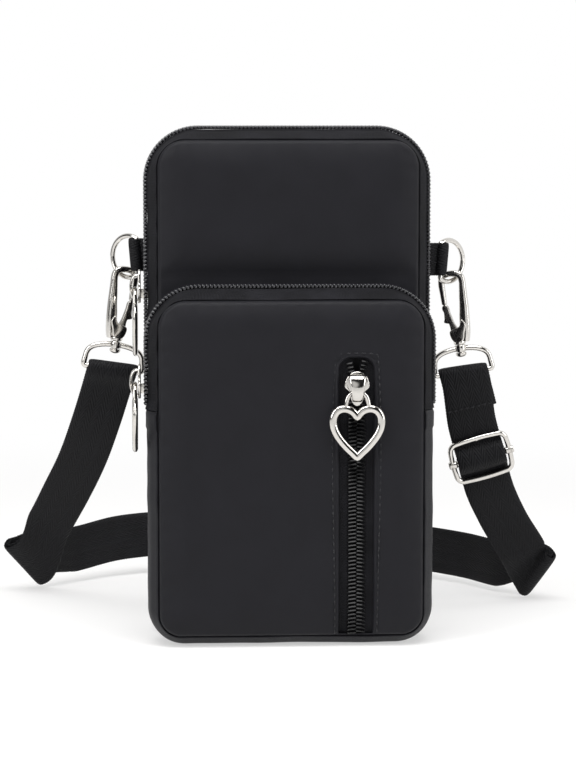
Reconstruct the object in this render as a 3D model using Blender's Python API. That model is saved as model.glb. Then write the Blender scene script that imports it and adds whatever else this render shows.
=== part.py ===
"""Crossbody phone bag standing upright, with two zipped compartments, a slot
pocket with a heart pull, two swivel snap hooks and an adjustable webbing strap.

Metres, +Z up, +Y away from the front face. The origin is on the floor, under
the middle of the main compartment.
"""

import bmesh
import bpy
from math import asin, atan2, cos, pi, radians, sin
from mathutils import Matrix, Vector

MM = 0.001

# General clearances
GAP = 0.3 * MM
OVERRUN = 2.0 * MM
ARC_STEPS = 5
HALF_TURN_STEPS = 8
TUBE_SIDES = 8
ROD_SIDES = 14
LEFT, RIGHT = -1, 1

# Bag outlines: the seam is the groove round each panel, the crest is the zip line
SEAM_WIDTH = 95.5 * MM
BULGE = 4.2 * MM
MAIN_HEIGHT = 187.0 * MM
FRONT_HEIGHT = 130.0 * MM
SEAM_TOP_RADIUS = 10.0 * MM
SEAM_BOTTOM_RADIUS = 8.0 * MM
CREST_TOP_RADIUS = 19.0 * MM
CREST_BOTTOM_RADIUS = 14.0 * MM
CREST_FLAT_SHARE = 0.5
CREST_SLOPE_LIFT_SHARE = 0.72
ZIP_SIDE_LENGTH = 44.0 * MM
ZIP_END_HEIGHT = FRONT_HEIGHT - ZIP_SIDE_LENGTH
BAND_WALL = 1.0 * MM
MAIN_DEPTH = 20.0 * MM
FRONT_DEPTH = 19.4 * MM

# Panels
PANEL_WALL = 1.5 * MM
PANEL_RISE_WIDTH = 12.0 * MM
REAR_CROWN = 2.0 * MM
UPPER_CROWN = 2.2 * MM
FRONT_CROWN = 2.6 * MM
PANEL_ROW_STEPS = 3
LOW_ROW_STEPS = (3, 6)
HIGH_ROW_STEPS = (6, 4)
FOLD_ROW_STEPS = (0, 1, 2, 3, 5)
PANEL_COLUMN_SHARES = (-1.0, -0.94, -0.86, -0.75, -0.5, 0.0, 0.5, 0.75, 0.86, 0.94, 1.0)

# Coil zips round the two compartments
CHAIN_SLIT = 1.2 * MM
COIL_WIDTH = 2.7 * MM
COIL_HEIGHT = 1.5 * MM
COIL_CHAMFER = 0.5 * MM
COIL_END_CLEAR = 2.0 * MM

# Slot pocket in the front panel
SLOT_SIDE_LAND = 24.55 * MM
SLOT_BOTTOM_LAND = 2.8 * MM
SLOT_TOP_LAND = 24.6 * MM
SLOT_CENTRE_X = SEAM_WIDTH / 2 - SLOT_SIDE_LAND
SLOT_WIDTH = 13.3 * MM
SLOT_BOTTOM = BULGE + SLOT_BOTTOM_LAND
SLOT_TOP = FRONT_HEIGHT - SLOT_TOP_LAND
SLOT_CORNER = 2.0 * MM
SLOT_TAPE_OVERLAP = 3.0 * MM
SLOT_TAPE_WALL = 0.6 * MM
SLOT_CURVE_STEPS = 4
POCKET_CLEAR = 2.4 * MM
POCKET_MARGIN = 4.0 * MM
POCKET_WALL = 0.6 * MM
POCKET_DEPTH = 3.2 * MM

# Linings
LINING_WALL = 0.6 * MM
LINING_CLEAR = 0.6 * MM
LINING_SIDE_CLEAR = 3.0 * MM
LINING_TOP_DROP = 8.0 * MM
LINING_CORNER = 5.0 * MM

# Zip sliders and pulls
SLIDER_LENGTH = 12.6 * MM
SLIDER_WIDTH = 9.0 * MM
SLIDER_NOSE_WIDTH = 5.2 * MM
SLIDER_PLATE = 1.0 * MM
SLIDER_HEAD_SHARE = 0.15
SLIDER_TAIL_SHARE = 0.25
SLIDER_FLOOR_SHARE = 0.8
SLIDER_WEB = 0.6 * MM
SLIDER_WEB_LENGTH = 3.6 * MM
SLIDER_WEB_OFFSET = 2.6 * MM
SLIDER_WEB_CORNER_SHARE = 0.45
BRIDGE_LENGTH = 9.1 * MM
BRIDGE_WIDTH = 3.4 * MM
BRIDGE_WALL = 0.9 * MM
BRIDGE_RISE = 3.8 * MM
BRIDGE_POWER = 0.4
BRIDGE_STEPS = 10
PULL_LOOP_WIDTH = 9.6 * MM
PULL_LOOP_HEIGHT = 5.6 * MM
PULL_WIRE = 1.7 * MM
HEART_WIDTH = 20.2 * MM
HEART_HEIGHT = 20.4 * MM
HEART_RIM = 2.9 * MM
HEART_THICKNESS = 2.0 * MM
HEART_NOTCH_SHARE = 0.11
HEART_WAVES = (13, -5, -2, -1)
HEART_WAVE_SHARE = 1 / 16
HEART_RISE_SHARE = 1 / 1.83
HEART_SIDE_POWER = 3
HEART_POINTS = 28
PULL_ARCH_SHARES = (
    (-0.8, 1.0), (-1.0, 0.5), (-0.93, 0.2), (-0.62, 0.0), (0.62, 0.0), (0.93, 0.2), (1.0, 0.5), (0.8, 1.0),
)
PULL_AXIS_DROP = 1.2 * MM
SLOT_SLIDER_DROP = 11.0 * MM
FRONT_SLIDER_RISE = 10.0 * MM
MAIN_SLIDER_RISE = 43.0 * MM
SLOT_SLIDER_Z = SLOT_TOP - SLOT_SLIDER_DROP
FRONT_SLIDER_Z = ZIP_END_HEIGHT + FRONT_SLIDER_RISE
MAIN_SLIDER_Z = ZIP_END_HEIGHT + MAIN_SLIDER_RISE

# Side tabs and D-rings
TAB_WIDTH = 11.0 * MM
TAB_WALL = 1.1 * MM
TAB_SLIT = 0.2 * MM
TAB_BEHIND = 3.0 * MM
TAB_PLANE_Y = MAIN_DEPTH / 2 + TAB_BEHIND
RING_WIRE = 1.9 * MM
RING_HEIGHT = 15.6 * MM
RING_REACH = 11.2 * MM
RING_TURN = radians(35)
LEFT_RING_OUT = 7.75 * MM
RIGHT_RING_OUT = 10.65 * MM
LEFT_RING_HEIGHT = 139.2 * MM
RIGHT_RING_HEIGHT = 137.2 * MM
RING_BAR_X = {LEFT: SEAM_WIDTH / 2 + LEFT_RING_OUT, RIGHT: SEAM_WIDTH / 2 + RIGHT_RING_OUT}
RING_Z = {LEFT: LEFT_RING_HEIGHT, RIGHT: RIGHT_RING_HEIGHT}
TAB_RISE = 0.8 * MM
TAB_TURN_STEPS = 10
RING_STEPS = 18
RING_REACH_POWER = 0.5
RING_RISE_POWER = 0.6

# Swivel snap hooks, drawn in a plane: outward and up from the ring's wire
HOOK_SEAT_OUT = 5.7 * MM
HOOK_TURN = radians(20)
HOOK_LEAN = radians(8)
HOOK_WIRE = 2.4 * MM
HOOK_HALF_WIDTH = 4.0 * MM
HOOK_CROWN = 3.0 * MM
HOOK_FOOT_SHARE = 1.25
HOOK_NOSE_DROP = 8.4 * MM
HOOK_BASE_DROP = 18.0 * MM
HOOK_COLLAR_DROP = 24.0 * MM
HOOK_BASE_THICKNESS = 4.6 * MM
HOOK_BASE_WIDTH = 6.0 * MM
HOOK_LEG_SHARES = (
    (0.25, 1.0, 1.25), (0.72, 0.8, 1.2), (0.95, 0.6, 1.12), (1.0, 0.4, 1.06), (1.0, 0.15, 1.0),
)
HOOK_NOSE_SHARES = ((-1.0, 0.5, 0.95), (-0.98, 1.0, 0.85))
HOOK_BASE_SHARES = (0.5, 0.95, 0.7, 0.2, 0.85)
HOOK_CHEEK_SHARE = 0.6
COLLAR_DIAMETER = 4.6 * MM
COLLAR_HEIGHT = 1.3 * MM
SHANK_DIAMETER = 2.0 * MM
RIVET_DIAMETER = 4.2 * MM
RIVET_HEIGHT = 1.8 * MM
GATE_WIDTH = 1.9 * MM
GATE_THICKNESS = 2.0 * MM
GATE_EAR_RADIUS = 1.5 * MM
GATE_PIN_DIAMETER = 1.2 * MM
GATE_PIVOT_OUT = -1.0 * MM
GATE_PIVOT_DROP = 19.6 * MM
GATE_THUMB = 1.5 * MM
GATE_NIB_SHARES = (0.62, 0.5, 0.36)

# Swivel eyes that carry the strap
EYE_WIRE = 2.1 * MM
EYE_BOSS_DIAMETER = 4.4 * MM
EYE_BOSS_HEIGHT = 2.6 * MM
EYE_BAR_DROP = 9.0 * MM
EYE_SHOULDER_SHARE = 0.42
EYE_STEPS = 14

# Webbing strap
STRAP_WIDTH = 18.6 * MM
STRAP_WALL = 1.2 * MM
STRAP_LAYER_STEP = 1.6 * MM
STRAP_SIDE_CLEAR = 0.35 * MM
FOLD_RADIUS = 1.9 * MM

# Adjuster: a wire frame with a bar across it that slides on the frame's sides
ADJUSTER_WIRE = 1.7 * MM
ADJUSTER_LENGTH = 18.0 * MM
ADJUSTER_CORNER = 3.0 * MM
ADJUSTER_SIDE_CLEAR = 0.8 * MM
ADJUSTER_BAR = 1.8 * MM
ADJUSTER_KNOB = 3.4 * MM
ADJUSTER_KNOB_WIDTH = 2.2 * MM
ADJUSTER_PLANE = 3.4 * MM

# The strap's weave through the adjuster, in shares of its length (down, front)
WEAVE_FRONT_SHARES = (
    (-0.72, -0.1), (-0.47, -0.1), (-0.367, -0.075), (-0.272, 0.0), (-0.189, 0.112), (-0.089, 0.18),
    (0.0, 0.205), (0.089, 0.18), (0.189, 0.112), (0.272, 0.0), (0.367, -0.075), (0.47, -0.1), (0.72, -0.1),
)
WEAVE_REAR_SHARES = (
    (0.72, -0.19), (0.444, -0.19), (0.35, -0.17), (0.25, -0.085), (0.165, 0.02), (0.085, 0.088), (0.0, 0.114),
    (-0.081, 0.081), (-0.114, 0.0), (-0.081, -0.081), (0.0, -0.114), (0.15, -0.17), (0.3, -0.265),
    (0.444, -0.285), (0.7, -0.285),
)

# The strap's route between the swivel eyes, the middles of the doubled webbing, in shares
# of how far it spreads to the side (x) and of how far its loop reaches back (y and z)
STRAP_SIDE_REACH = 52.25 * MM
STRAP_SPREAD = SEAM_WIDTH / 2 + STRAP_SIDE_REACH
STRAP_BACK_REACH = 100.0 * MM
ADJUSTER_PLACE_SHARES = (0.755, 0.255, 0.625)
RIGHT_DROP_SHARES = ((0.855, 0.36, 0.37), (0.95, 0.445, 0.215))
RIGHT_FOLD_OUTER_SHARES = (1.086, 0.45, 0.19)
RIGHT_FOLD_LOW_SHARES = (0.995, 0.58, 0.016)
REAR_RUN_SHARES = (
    (0.88, 0.72, 0.116), (0.78, 0.88, 0.12), (0.64, 1.01, 0.126), (0.4, 1.14, 0.14), (0.12, 1.21, 0.156),
    (-0.2, 1.235, 0.168), (-0.46, 1.2, 0.17), (-0.66, 1.125, 0.162), (-0.82, 1.01, 0.14),
)
LEFT_FOLD_OUTER_SHARES = (-1.096, 0.76, 0.19)
LEFT_FOLD_LOW_SHARES = (-0.966, 0.88, 0.016)
LEFT_DROP_SHARES = ((-0.915, 0.68, 0.3), (-0.84, 0.555, 0.45), (-0.775, 0.435, 0.59), (-0.715, 0.3, 0.76))
TAIL_LENGTH = 14.0 * MM
TAIL_SHARES = ((1.0, 1.0), (0.5, 0.95))
STRAP_START_SHARE = 0.8
LEFT_TWIST_POWER = 3
RIGHT_TWIST_POWER = 0.3

# Colours and finishes
BLACK = (0.012, 0.012, 0.014, 1.0)
NICKEL = (0.82, 0.81, 0.79, 1.0)


def make_material(name, colour, roughness, metallic):
    """Return a Principled material with the given finish."""
    material = bpy.data.materials.new(name)
    material.use_nodes = True
    shader = material.node_tree.nodes["Principled BSDF"]
    shader.inputs["Base Color"].default_value = colour
    shader.inputs["Roughness"].default_value = roughness
    shader.inputs["Metallic"].default_value = metallic
    return material


def add_object(name, mesh, finish):
    """Link a mesh as a named object with its own material."""
    obj = bpy.data.objects.new(name, mesh)
    bpy.context.collection.objects.link(obj)
    mesh.materials.append(make_material(name, *finish))
    return obj


FABRIC = (BLACK, 0.6, 0.0)
NYLON = (BLACK, 0.45, 0.0)
METAL = (NICKEL, 0.2, 1.0)


def bmesh_to_mesh(name, shape):
    """Turn a bmesh into a mesh whose faces point outwards."""
    bmesh.ops.recalc_face_normals(shape, faces=shape.faces)
    mesh = bpy.data.meshes.new(name)
    shape.to_mesh(mesh)
    shape.free()
    return mesh


def loft(name, rings, finish, close_path=False):
    """Join rings of points into one closed solid, capped at its two ends."""
    shape = bmesh.new()
    rows = [[shape.verts.new(point) for point in ring] for ring in rings]
    pairs = list(zip(rows, rows[1:]))
    if close_path:
        pairs.append((rows[-1], rows[0]))
    for lower, upper in pairs:
        for index, vertex in enumerate(lower):
            following = (index + 1) % len(lower)
            shape.faces.new((vertex, lower[following], upper[following], upper[index]))
    if not close_path:
        shape.faces.new(rows[0])
        shape.faces.new(rows[-1])
    return add_object(name, bmesh_to_mesh(name, shape), finish)


def tube(name, points, diameter, finish, cyclic=False, radii=None, sides=TUBE_SIDES):
    """Sweep a round section along points, turning it with the path."""
    count = len(points)
    tangents = []
    for index in range(count):
        before = points[(index - 1) % count] if cyclic else points[max(index - 1, 0)]
        after = points[(index + 1) % count] if cyclic else points[min(index + 1, count - 1)]
        tangents.append((after - before).normalized())
    across = tangents[0].orthogonal().normalized()
    rings = []
    for index, (point, tangent) in enumerate(zip(points, tangents)):
        across = (across - tangent * across.dot(tangent)).normalized()
        up = tangent.cross(across)
        radius = diameter / 2 * (radii[index] if radii else 1)
        rings.append(disc_points(point, across, up, radius, sides))
    return loft(name, rings, finish, close_path=cyclic)


def prism(name, outline, low, high, finish):
    """Extrude an outline of points between two offsets."""
    bottom = [point + low for point in outline]
    top = [point + high for point in outline]
    return loft(name, [bottom, top], finish)


def disc_points(centre, across, up, radius, count=ROD_SIDES):
    """Return points of a circle in the plane of two directions."""
    turns = [2 * pi * index / count for index in range(count)]
    return [centre + across * (radius * cos(turn)) + up * (radius * sin(turn)) for turn in turns]


def rod(name, start, end, diameter, finish):
    """Return a straight round rod from start to end."""
    axis = (end - start).normalized()
    across = axis.orthogonal().normalized()
    up = axis.cross(across)
    rings = [disc_points(place, across, up, diameter / 2) for place in (start, end)]
    return loft(name, rings, finish)


def combine(target, other, operation):
    """Join or cut target with another object by an exact Boolean."""
    change = target.modifiers.new(operation.title(), "BOOLEAN")
    change.operation = operation
    change.solver = "EXACT"
    change.object = other
    other.hide_render = True
    other.display_type = "WIRE"
    return target


def corner_arc(radius, steps=ARC_STEPS):
    """Return (in from the side, in from the end) offsets round a corner."""
    turns = [pi / 2 * index / steps for index in range(steps + 1)]
    return [(radius * (1 - cos(turn)), radius * (1 - sin(turn))) for turn in turns]


def upper_path(half, low, top, radius):
    """Walk from the left side over the top to the right side."""
    rise = [(-half, low)]
    rise += [(-half + side, top - end) for side, end in corner_arc(radius)]
    fall = [(-x, z) for x, z in reversed(rise)]
    return rise + fall


def lower_path(half, high, bottom, radius):
    """Walk from the left side under the bottom to the right side."""
    fall = [(-half, high)]
    fall += [(-half + side, bottom + end) for side, end in corner_arc(radius)]
    rise = [(-x, z) for x, z in reversed(fall)]
    return fall + rise


class Compartment:
    """One zipped compartment: a band of cloth and zip between two seams."""

    def __init__(self, name, height, front_y, depth):
        self.name = name
        self.height = height
        self.middle_y = front_y + depth / 2
        self.half_depth = depth / 2

    def seam_half(self):
        """Half the width at the seam."""
        return SEAM_WIDTH / 2

    def crest_half(self):
        """Half the width at the crest of the band."""
        return SEAM_WIDTH / 2 + BULGE

    def path(self, share, inset, upper):
        """Outline between the seam (share 0) and the crest (share 1), moved in by inset."""
        lines = []
        for half, top, low, top_radius, low_radius in (
            (self.seam_half(), self.height - BULGE, BULGE, SEAM_TOP_RADIUS, SEAM_BOTTOM_RADIUS),
            (self.crest_half(), self.height, 0, CREST_TOP_RADIUS, CREST_BOTTOM_RADIUS),
        ):
            if upper:
                start = ZIP_END_HEIGHT + GAP / 2
                lines.append(upper_path(half - inset, start, top - inset, top_radius - inset))
            else:
                start = ZIP_END_HEIGHT - GAP / 2
                lines.append(lower_path(half - inset, start, low + inset, low_radius - inset))
        return [
            (a[0] * (1 - share) + b[0] * share, a[1] * (1 - share) + b[1] * share)
            for a, b in zip(*lines)
        ]

    def band(self, name, profile, wall, upper, finish):
        """Loft a band from (across share, lift share) pairs, with a wall thickness."""
        outer = [(u, self.path(lift, 0, upper)) for u, lift in profile]
        inner = [(u, self.path(lift, wall, upper)) for u, lift in reversed(profile)]
        count = len(outer[0][1])
        rings = [
            [
                Vector((line[i][0], self.middle_y + u * self.half_depth, line[i][1]))
                for u, line in outer + inner
            ]
            for i in range(count)
        ]
        return loft(name, rings, finish)

    def build(self):
        """Make the gusset, both zip tapes and both coil rows."""
        flat = CREST_FLAT_SHARE
        slope_share = (1 + flat) / 2
        edge = [(1.0, 0.0), (slope_share, CREST_SLOPE_LIFT_SHARE), (flat, 1.0)]
        whole = [(-u, lift) for u, lift in edge] + [(u, lift) for u, lift in reversed(edge)]
        self.band(f"{self.name}_gusset", whole, BAND_WALL, False, NYLON)
        slit_share = CHAIN_SLIT / 2 / self.half_depth
        for side, word in ((LEFT, "front"), (RIGHT, "rear")):
            profile = [(side * u, lift) for u, lift in edge] + [(side * slit_share, 1.0)]
            self.band(f"{self.name}_zip_tape_{word}", profile, BAND_WALL, True, FABRIC)
            self.coil(side, word)

    def coil(self, side, word):
        """Make one coil row, a bead on the crest beside the slit."""
        inner_y = CHAIN_SLIT / 2
        outer_y = inner_y + COIL_WIDTH
        low = GAP
        high = GAP + COIL_HEIGHT
        section = [
            (inner_y, low), (outer_y, low), (outer_y, high - COIL_CHAMFER),
            (outer_y - COIL_CHAMFER, high), (inner_y + COIL_CHAMFER, high), (inner_y, high - COIL_CHAMFER),
        ]
        lines = [(y, self.path(1, -lift, True)) for y, lift in section]
        rings = []
        last = len(lines[0][1]) - 1
        for i in range(last + 1):
            end_lift = COIL_END_CLEAR if i in (0, last) else 0
            rings.append([
                Vector((line[i][0], self.middle_y + side * y, line[i][1] + end_lift)) for y, line in lines
            ])
        loft(f"{self.name}_zip_coil_{word}", rings, NYLON)


def panel_rows(top, bottom, top_radius, bottom_radius, half, middles):
    """Return (half width, height) rows of a rounded panel from bottom to top."""
    rows = [(half - side, bottom + end) for side, end in reversed(corner_arc(bottom_radius))]
    rows += [(half, z) for z in middles]
    rows += [(half - side, top - end) for side, end in corner_arc(top_radius)]
    return rows


def rise_share(distance):
    """Return how far the crown has risen at a distance in from the seam."""
    reach = min(max(distance, 0) / PANEL_RISE_WIDTH, 1)
    return 1 - (1 - reach) ** 2


def crown_at(x, z, low, high, crown):
    """Return the crown of a padded panel at a point of its face."""
    inwards = min(SEAM_WIDTH / 2 - abs(x), high - z, z - low)
    return crown * rise_share(inwards)


def make_panel(name, height, rim_y, facing, crown_low, crown, middles):
    """Make a padded panel whose rim stands on rim_y and whose face is crowned."""
    top = height - BULGE
    rows = panel_rows(top, BULGE, SEAM_TOP_RADIUS, SEAM_BOTTOM_RADIUS, SEAM_WIDTH / 2, middles)
    shape = bmesh.new()
    sheets = []
    for wall in (0, PANEL_WALL):
        sheet = []
        for half, z in rows:
            line = []
            for share in PANEL_COLUMN_SHARES:
                x = half * share
                y = rim_y + facing * (wall + crown_at(x, z, crown_low, top, crown))
                line.append(shape.verts.new((x, y, z)))
            sheet.append(line)
        sheets.append(sheet)
        for lower, upper in zip(sheet, sheet[1:]):
            for i in range(len(lower) - 1):
                shape.faces.new((lower[i], lower[i + 1], upper[i + 1], upper[i]))
    inner, outer = sheets
    for i in range(len(PANEL_COLUMN_SHARES) - 1):
        for row in (0, -1):
            shape.faces.new((inner[row][i], inner[row][i + 1], outer[row][i + 1], outer[row][i]))
    for j in range(len(rows) - 1):
        for column in (0, -1):
            shape.faces.new((inner[j][column], inner[j + 1][column], outer[j + 1][column], outer[j][column]))
    return add_object(name, bmesh_to_mesh(name, shape), FABRIC)


MAIN_FRONT_Y = -MAIN_DEPTH / 2
DIVIDER_FACE_Y = MAIN_FRONT_Y - GAP - PANEL_WALL
FRONT_REAR_Y = DIVIDER_FACE_Y - GAP
FRONT_FRONT_Y = FRONT_REAR_Y - FRONT_DEPTH
FRONT_RIM_Y = FRONT_FRONT_Y - GAP


def rounded_rect(width, height, radius, centre, across, up):
    """Return the points of a rounded rectangle in the plane of two directions."""
    points = []
    for quarter in range(4):
        corner_x = (width / 2 - radius) * (1 if quarter in (0, 3) else -1)
        corner_y = (height / 2 - radius) * (1 if quarter < 2 else -1)
        for index in range(ARC_STEPS):
            turn = pi / 2 * (quarter + index / (ARC_STEPS - 1))
            points.append(
                centre + across * (corner_x + radius * cos(turn)) + up * (corner_y + radius * sin(turn))
            )
    return points


X_AXIS, Y_AXIS, Z_AXIS = Vector((1, 0, 0)), Vector((0, 1, 0)), Vector((0, 0, 1))


def build_panels():
    """Make the rear panel, the tall front panel of the main part and the slotted panel."""
    step = PANEL_RISE_WIDTH / PANEL_ROW_STEPS
    low = [BULGE + step * n for n in LOW_ROW_STEPS]
    high = [MAIN_HEIGHT - BULGE - step * n for n in HIGH_ROW_STEPS]
    rear_rim = MAIN_DEPTH / 2 + GAP
    make_panel("rear_panel", MAIN_HEIGHT, rear_rim, 1, BULGE, REAR_CROWN, low + high)
    fold = FRONT_HEIGHT + BULGE
    lift = [fold + step * n for n in FOLD_ROW_STEPS]
    make_panel("main_front_panel", MAIN_HEIGHT, MAIN_FRONT_Y - GAP, -1, fold, UPPER_CROWN, low + lift)
    high = [FRONT_HEIGHT - BULGE - step * n for n in HIGH_ROW_STEPS]
    panel = make_panel("front_panel", FRONT_HEIGHT, FRONT_RIM_Y, -1, BULGE, FRONT_CROWN, low + high)
    height = SLOT_TOP - SLOT_BOTTOM
    centre = Vector((SLOT_CENTRE_X, FRONT_RIM_Y, SLOT_BOTTOM + height / 2))
    outline = rounded_rect(SLOT_WIDTH, height, SLOT_CORNER, centre, X_AXIS, Z_AXIS)
    reach = PANEL_WALL + FRONT_CROWN + OVERRUN
    cutter = prism("slot_cutter", outline, Y_AXIS * OVERRUN, Y_AXIS * -reach, FABRIC)
    combine(panel, cutter, "DIFFERENCE")


def slot_heights():
    """Return heights along the slot zip, close together where the panel curves."""
    bottom = SLOT_BOTTOM - SLOT_TAPE_OVERLAP + BULGE / 2
    curve = [bottom + PANEL_RISE_WIDTH * n / SLOT_CURVE_STEPS for n in range(SLOT_CURVE_STEPS + 1)]
    return curve + [SLOT_TOP + SLOT_TAPE_OVERLAP]


def slot_sheet_y(z):
    """Return the inner face of the front panel at a height on the slot's line."""
    return FRONT_RIM_Y - FRONT_CROWN * rise_share(z - BULGE)


def build_slot_zip():
    """Make the tapes and coils of the slot zip and the pocket behind it."""
    half_slit = CHAIN_SLIT / 2
    for side, word in ((LEFT, "left"), (RIGHT, "right")):
        near = SLOT_CENTRE_X + side * half_slit
        far = SLOT_CENTRE_X + side * (SLOT_WIDTH / 2 + SLOT_TAPE_OVERLAP)
        tape = []
        for z in slot_heights():
            face = slot_sheet_y(z) + GAP
            back = face + SLOT_TAPE_WALL
            corners = ((near, face), (far, face), (far, back), (near, back))
            tape.append([Vector((x, y, z)) for x, y in corners])
        loft(f"slot_zip_tape_{word}", tape, FABRIC)
        coil = []
        heights = slot_heights()
        heights[0] = SLOT_BOTTOM + GAP
        heights[-1] = SLOT_TOP - GAP
        outer = near + side * COIL_WIDTH
        for z in heights:
            face = slot_sheet_y(z)
            crest = face - COIL_HEIGHT
            shoulder = crest + COIL_CHAMFER
            section = (
                (near, face), (outer, face), (outer, shoulder),
                (outer - side * COIL_CHAMFER, crest), (near + side * COIL_CHAMFER, crest), (near, shoulder),
            )
            coil.append([Vector((x, y, z)) for x, y in section])
        loft(f"slot_zip_coil_{word}", coil, NYLON)


def open_tub(name, half, top, bottom, front_y, rear_y, wall, corner, finish):
    """Make a thin open-topped bag with rounded lower corners."""
    outer, inner = [], []
    for inset, rows in ((0, outer), (wall, inner)):
        radius = corner - inset
        widths = [(half - inset - side, bottom + inset + end) for side, end in reversed(corner_arc(radius))]
        widths.append((half - inset, top))
        for width, z in widths:
            low_y = front_y + inset
            high_y = rear_y - inset
            rows.append([Vector((x, y, z)) for x, y in (
                (-width, low_y), (width, low_y), (width, high_y), (-width, high_y))])
    return loft(name, outer + list(reversed(inner)), finish)


def build_linings():
    """Make the linings of both compartments and the slot pocket's own bag."""
    half = SEAM_WIDTH / 2 - LINING_SIDE_CLEAR
    low = BULGE + LINING_CLEAR
    front = MAIN_FRONT_Y + LINING_CLEAR
    rear = MAIN_DEPTH / 2 - LINING_CLEAR
    top = MAIN_HEIGHT - BULGE - LINING_TOP_DROP
    open_tub("main_lining", half, top, low, front, rear, LINING_WALL, LINING_CORNER, FABRIC)
    pocket_front = slot_sheet_y(SLOT_TOP) + GAP + SLOT_TAPE_WALL + POCKET_CLEAR
    pocket_rear = pocket_front + POCKET_DEPTH
    front = pocket_rear + GAP
    rear = FRONT_REAR_Y - LINING_CLEAR
    top = FRONT_HEIGHT - BULGE - LINING_TOP_DROP
    open_tub("front_lining", half, top, low, front, rear, LINING_WALL, LINING_CORNER, FABRIC)
    pocket_half = SLOT_WIDTH / 2 + SLOT_TAPE_OVERLAP + POCKET_MARGIN
    pocket = open_tub(
        "slot_pocket_bag", pocket_half, SLOT_TOP, low, pocket_front, pocket_rear,
        POCKET_WALL, LINING_CORNER, FABRIC)
    pocket.location.x = SLOT_CENTRE_X


def heart_points(width, height):
    """Return a heart outline round its own middle, from a sine-power formula."""
    points = []
    for index in range(HEART_POINTS):
        turn = 2 * pi * index / HEART_POINTS
        across = sin(turn) ** HEART_SIDE_POWER
        waves = [wave * cos(order * turn) for order, wave in enumerate(HEART_WAVES, 1)]
        rise = sum(waves) * HEART_WAVE_SHARE
        points.append((across * width / 2, (rise + HEART_NOTCH_SHARE) * height * HEART_RISE_SHARE))
    return points


def make_pull(name, place):
    """Make a heart pull: an arched loop over a bevelled heart ring, hanging from its axis."""
    shape = bmesh.new()
    inner_scale = 1 - 2 * HEART_RIM / HEART_WIDTH
    centre_drop = PULL_LOOP_HEIGHT - PULL_WIRE / 2 + HEART_HEIGHT / 2 - GAP
    sections = (
        (1.0, -HEART_THICKNESS / 4), (1.0, HEART_THICKNESS / 4),
        ((1 + inner_scale) / 2, HEART_THICKNESS / 2),
        (inner_scale, HEART_THICKNESS / 4), (inner_scale, -HEART_THICKNESS / 4),
        ((1 + inner_scale) / 2, -HEART_THICKNESS / 2),
    )
    outline = heart_points(HEART_WIDTH, HEART_HEIGHT)
    rings = [
        [shape.verts.new(place @ Vector((x * scale, off, z * scale - centre_drop)))
         for scale, off in sections]
        for x, z in outline
    ]
    for current, following in zip(rings, rings[1:] + rings[:1]):
        for i in range(len(sections)):
            j = (i + 1) % len(sections)
            shape.faces.new((current[i], current[j], following[j], following[i]))
    heart = add_object(name, bmesh_to_mesh(name, shape), METAL)
    half = (PULL_LOOP_WIDTH - PULL_WIRE) / 2
    drop = PULL_LOOP_HEIGHT - PULL_WIRE / 2 + HEART_RIM / 2
    arch = [
        Vector((half * across, 0, -drop * down)) for across, down in PULL_ARCH_SHARES
    ]
    loop = tube(f"{name}_loop", [place @ point for point in arch], PULL_WIRE, METAL)
    combine(heart, loop, "UNION")
    return heart


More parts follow.
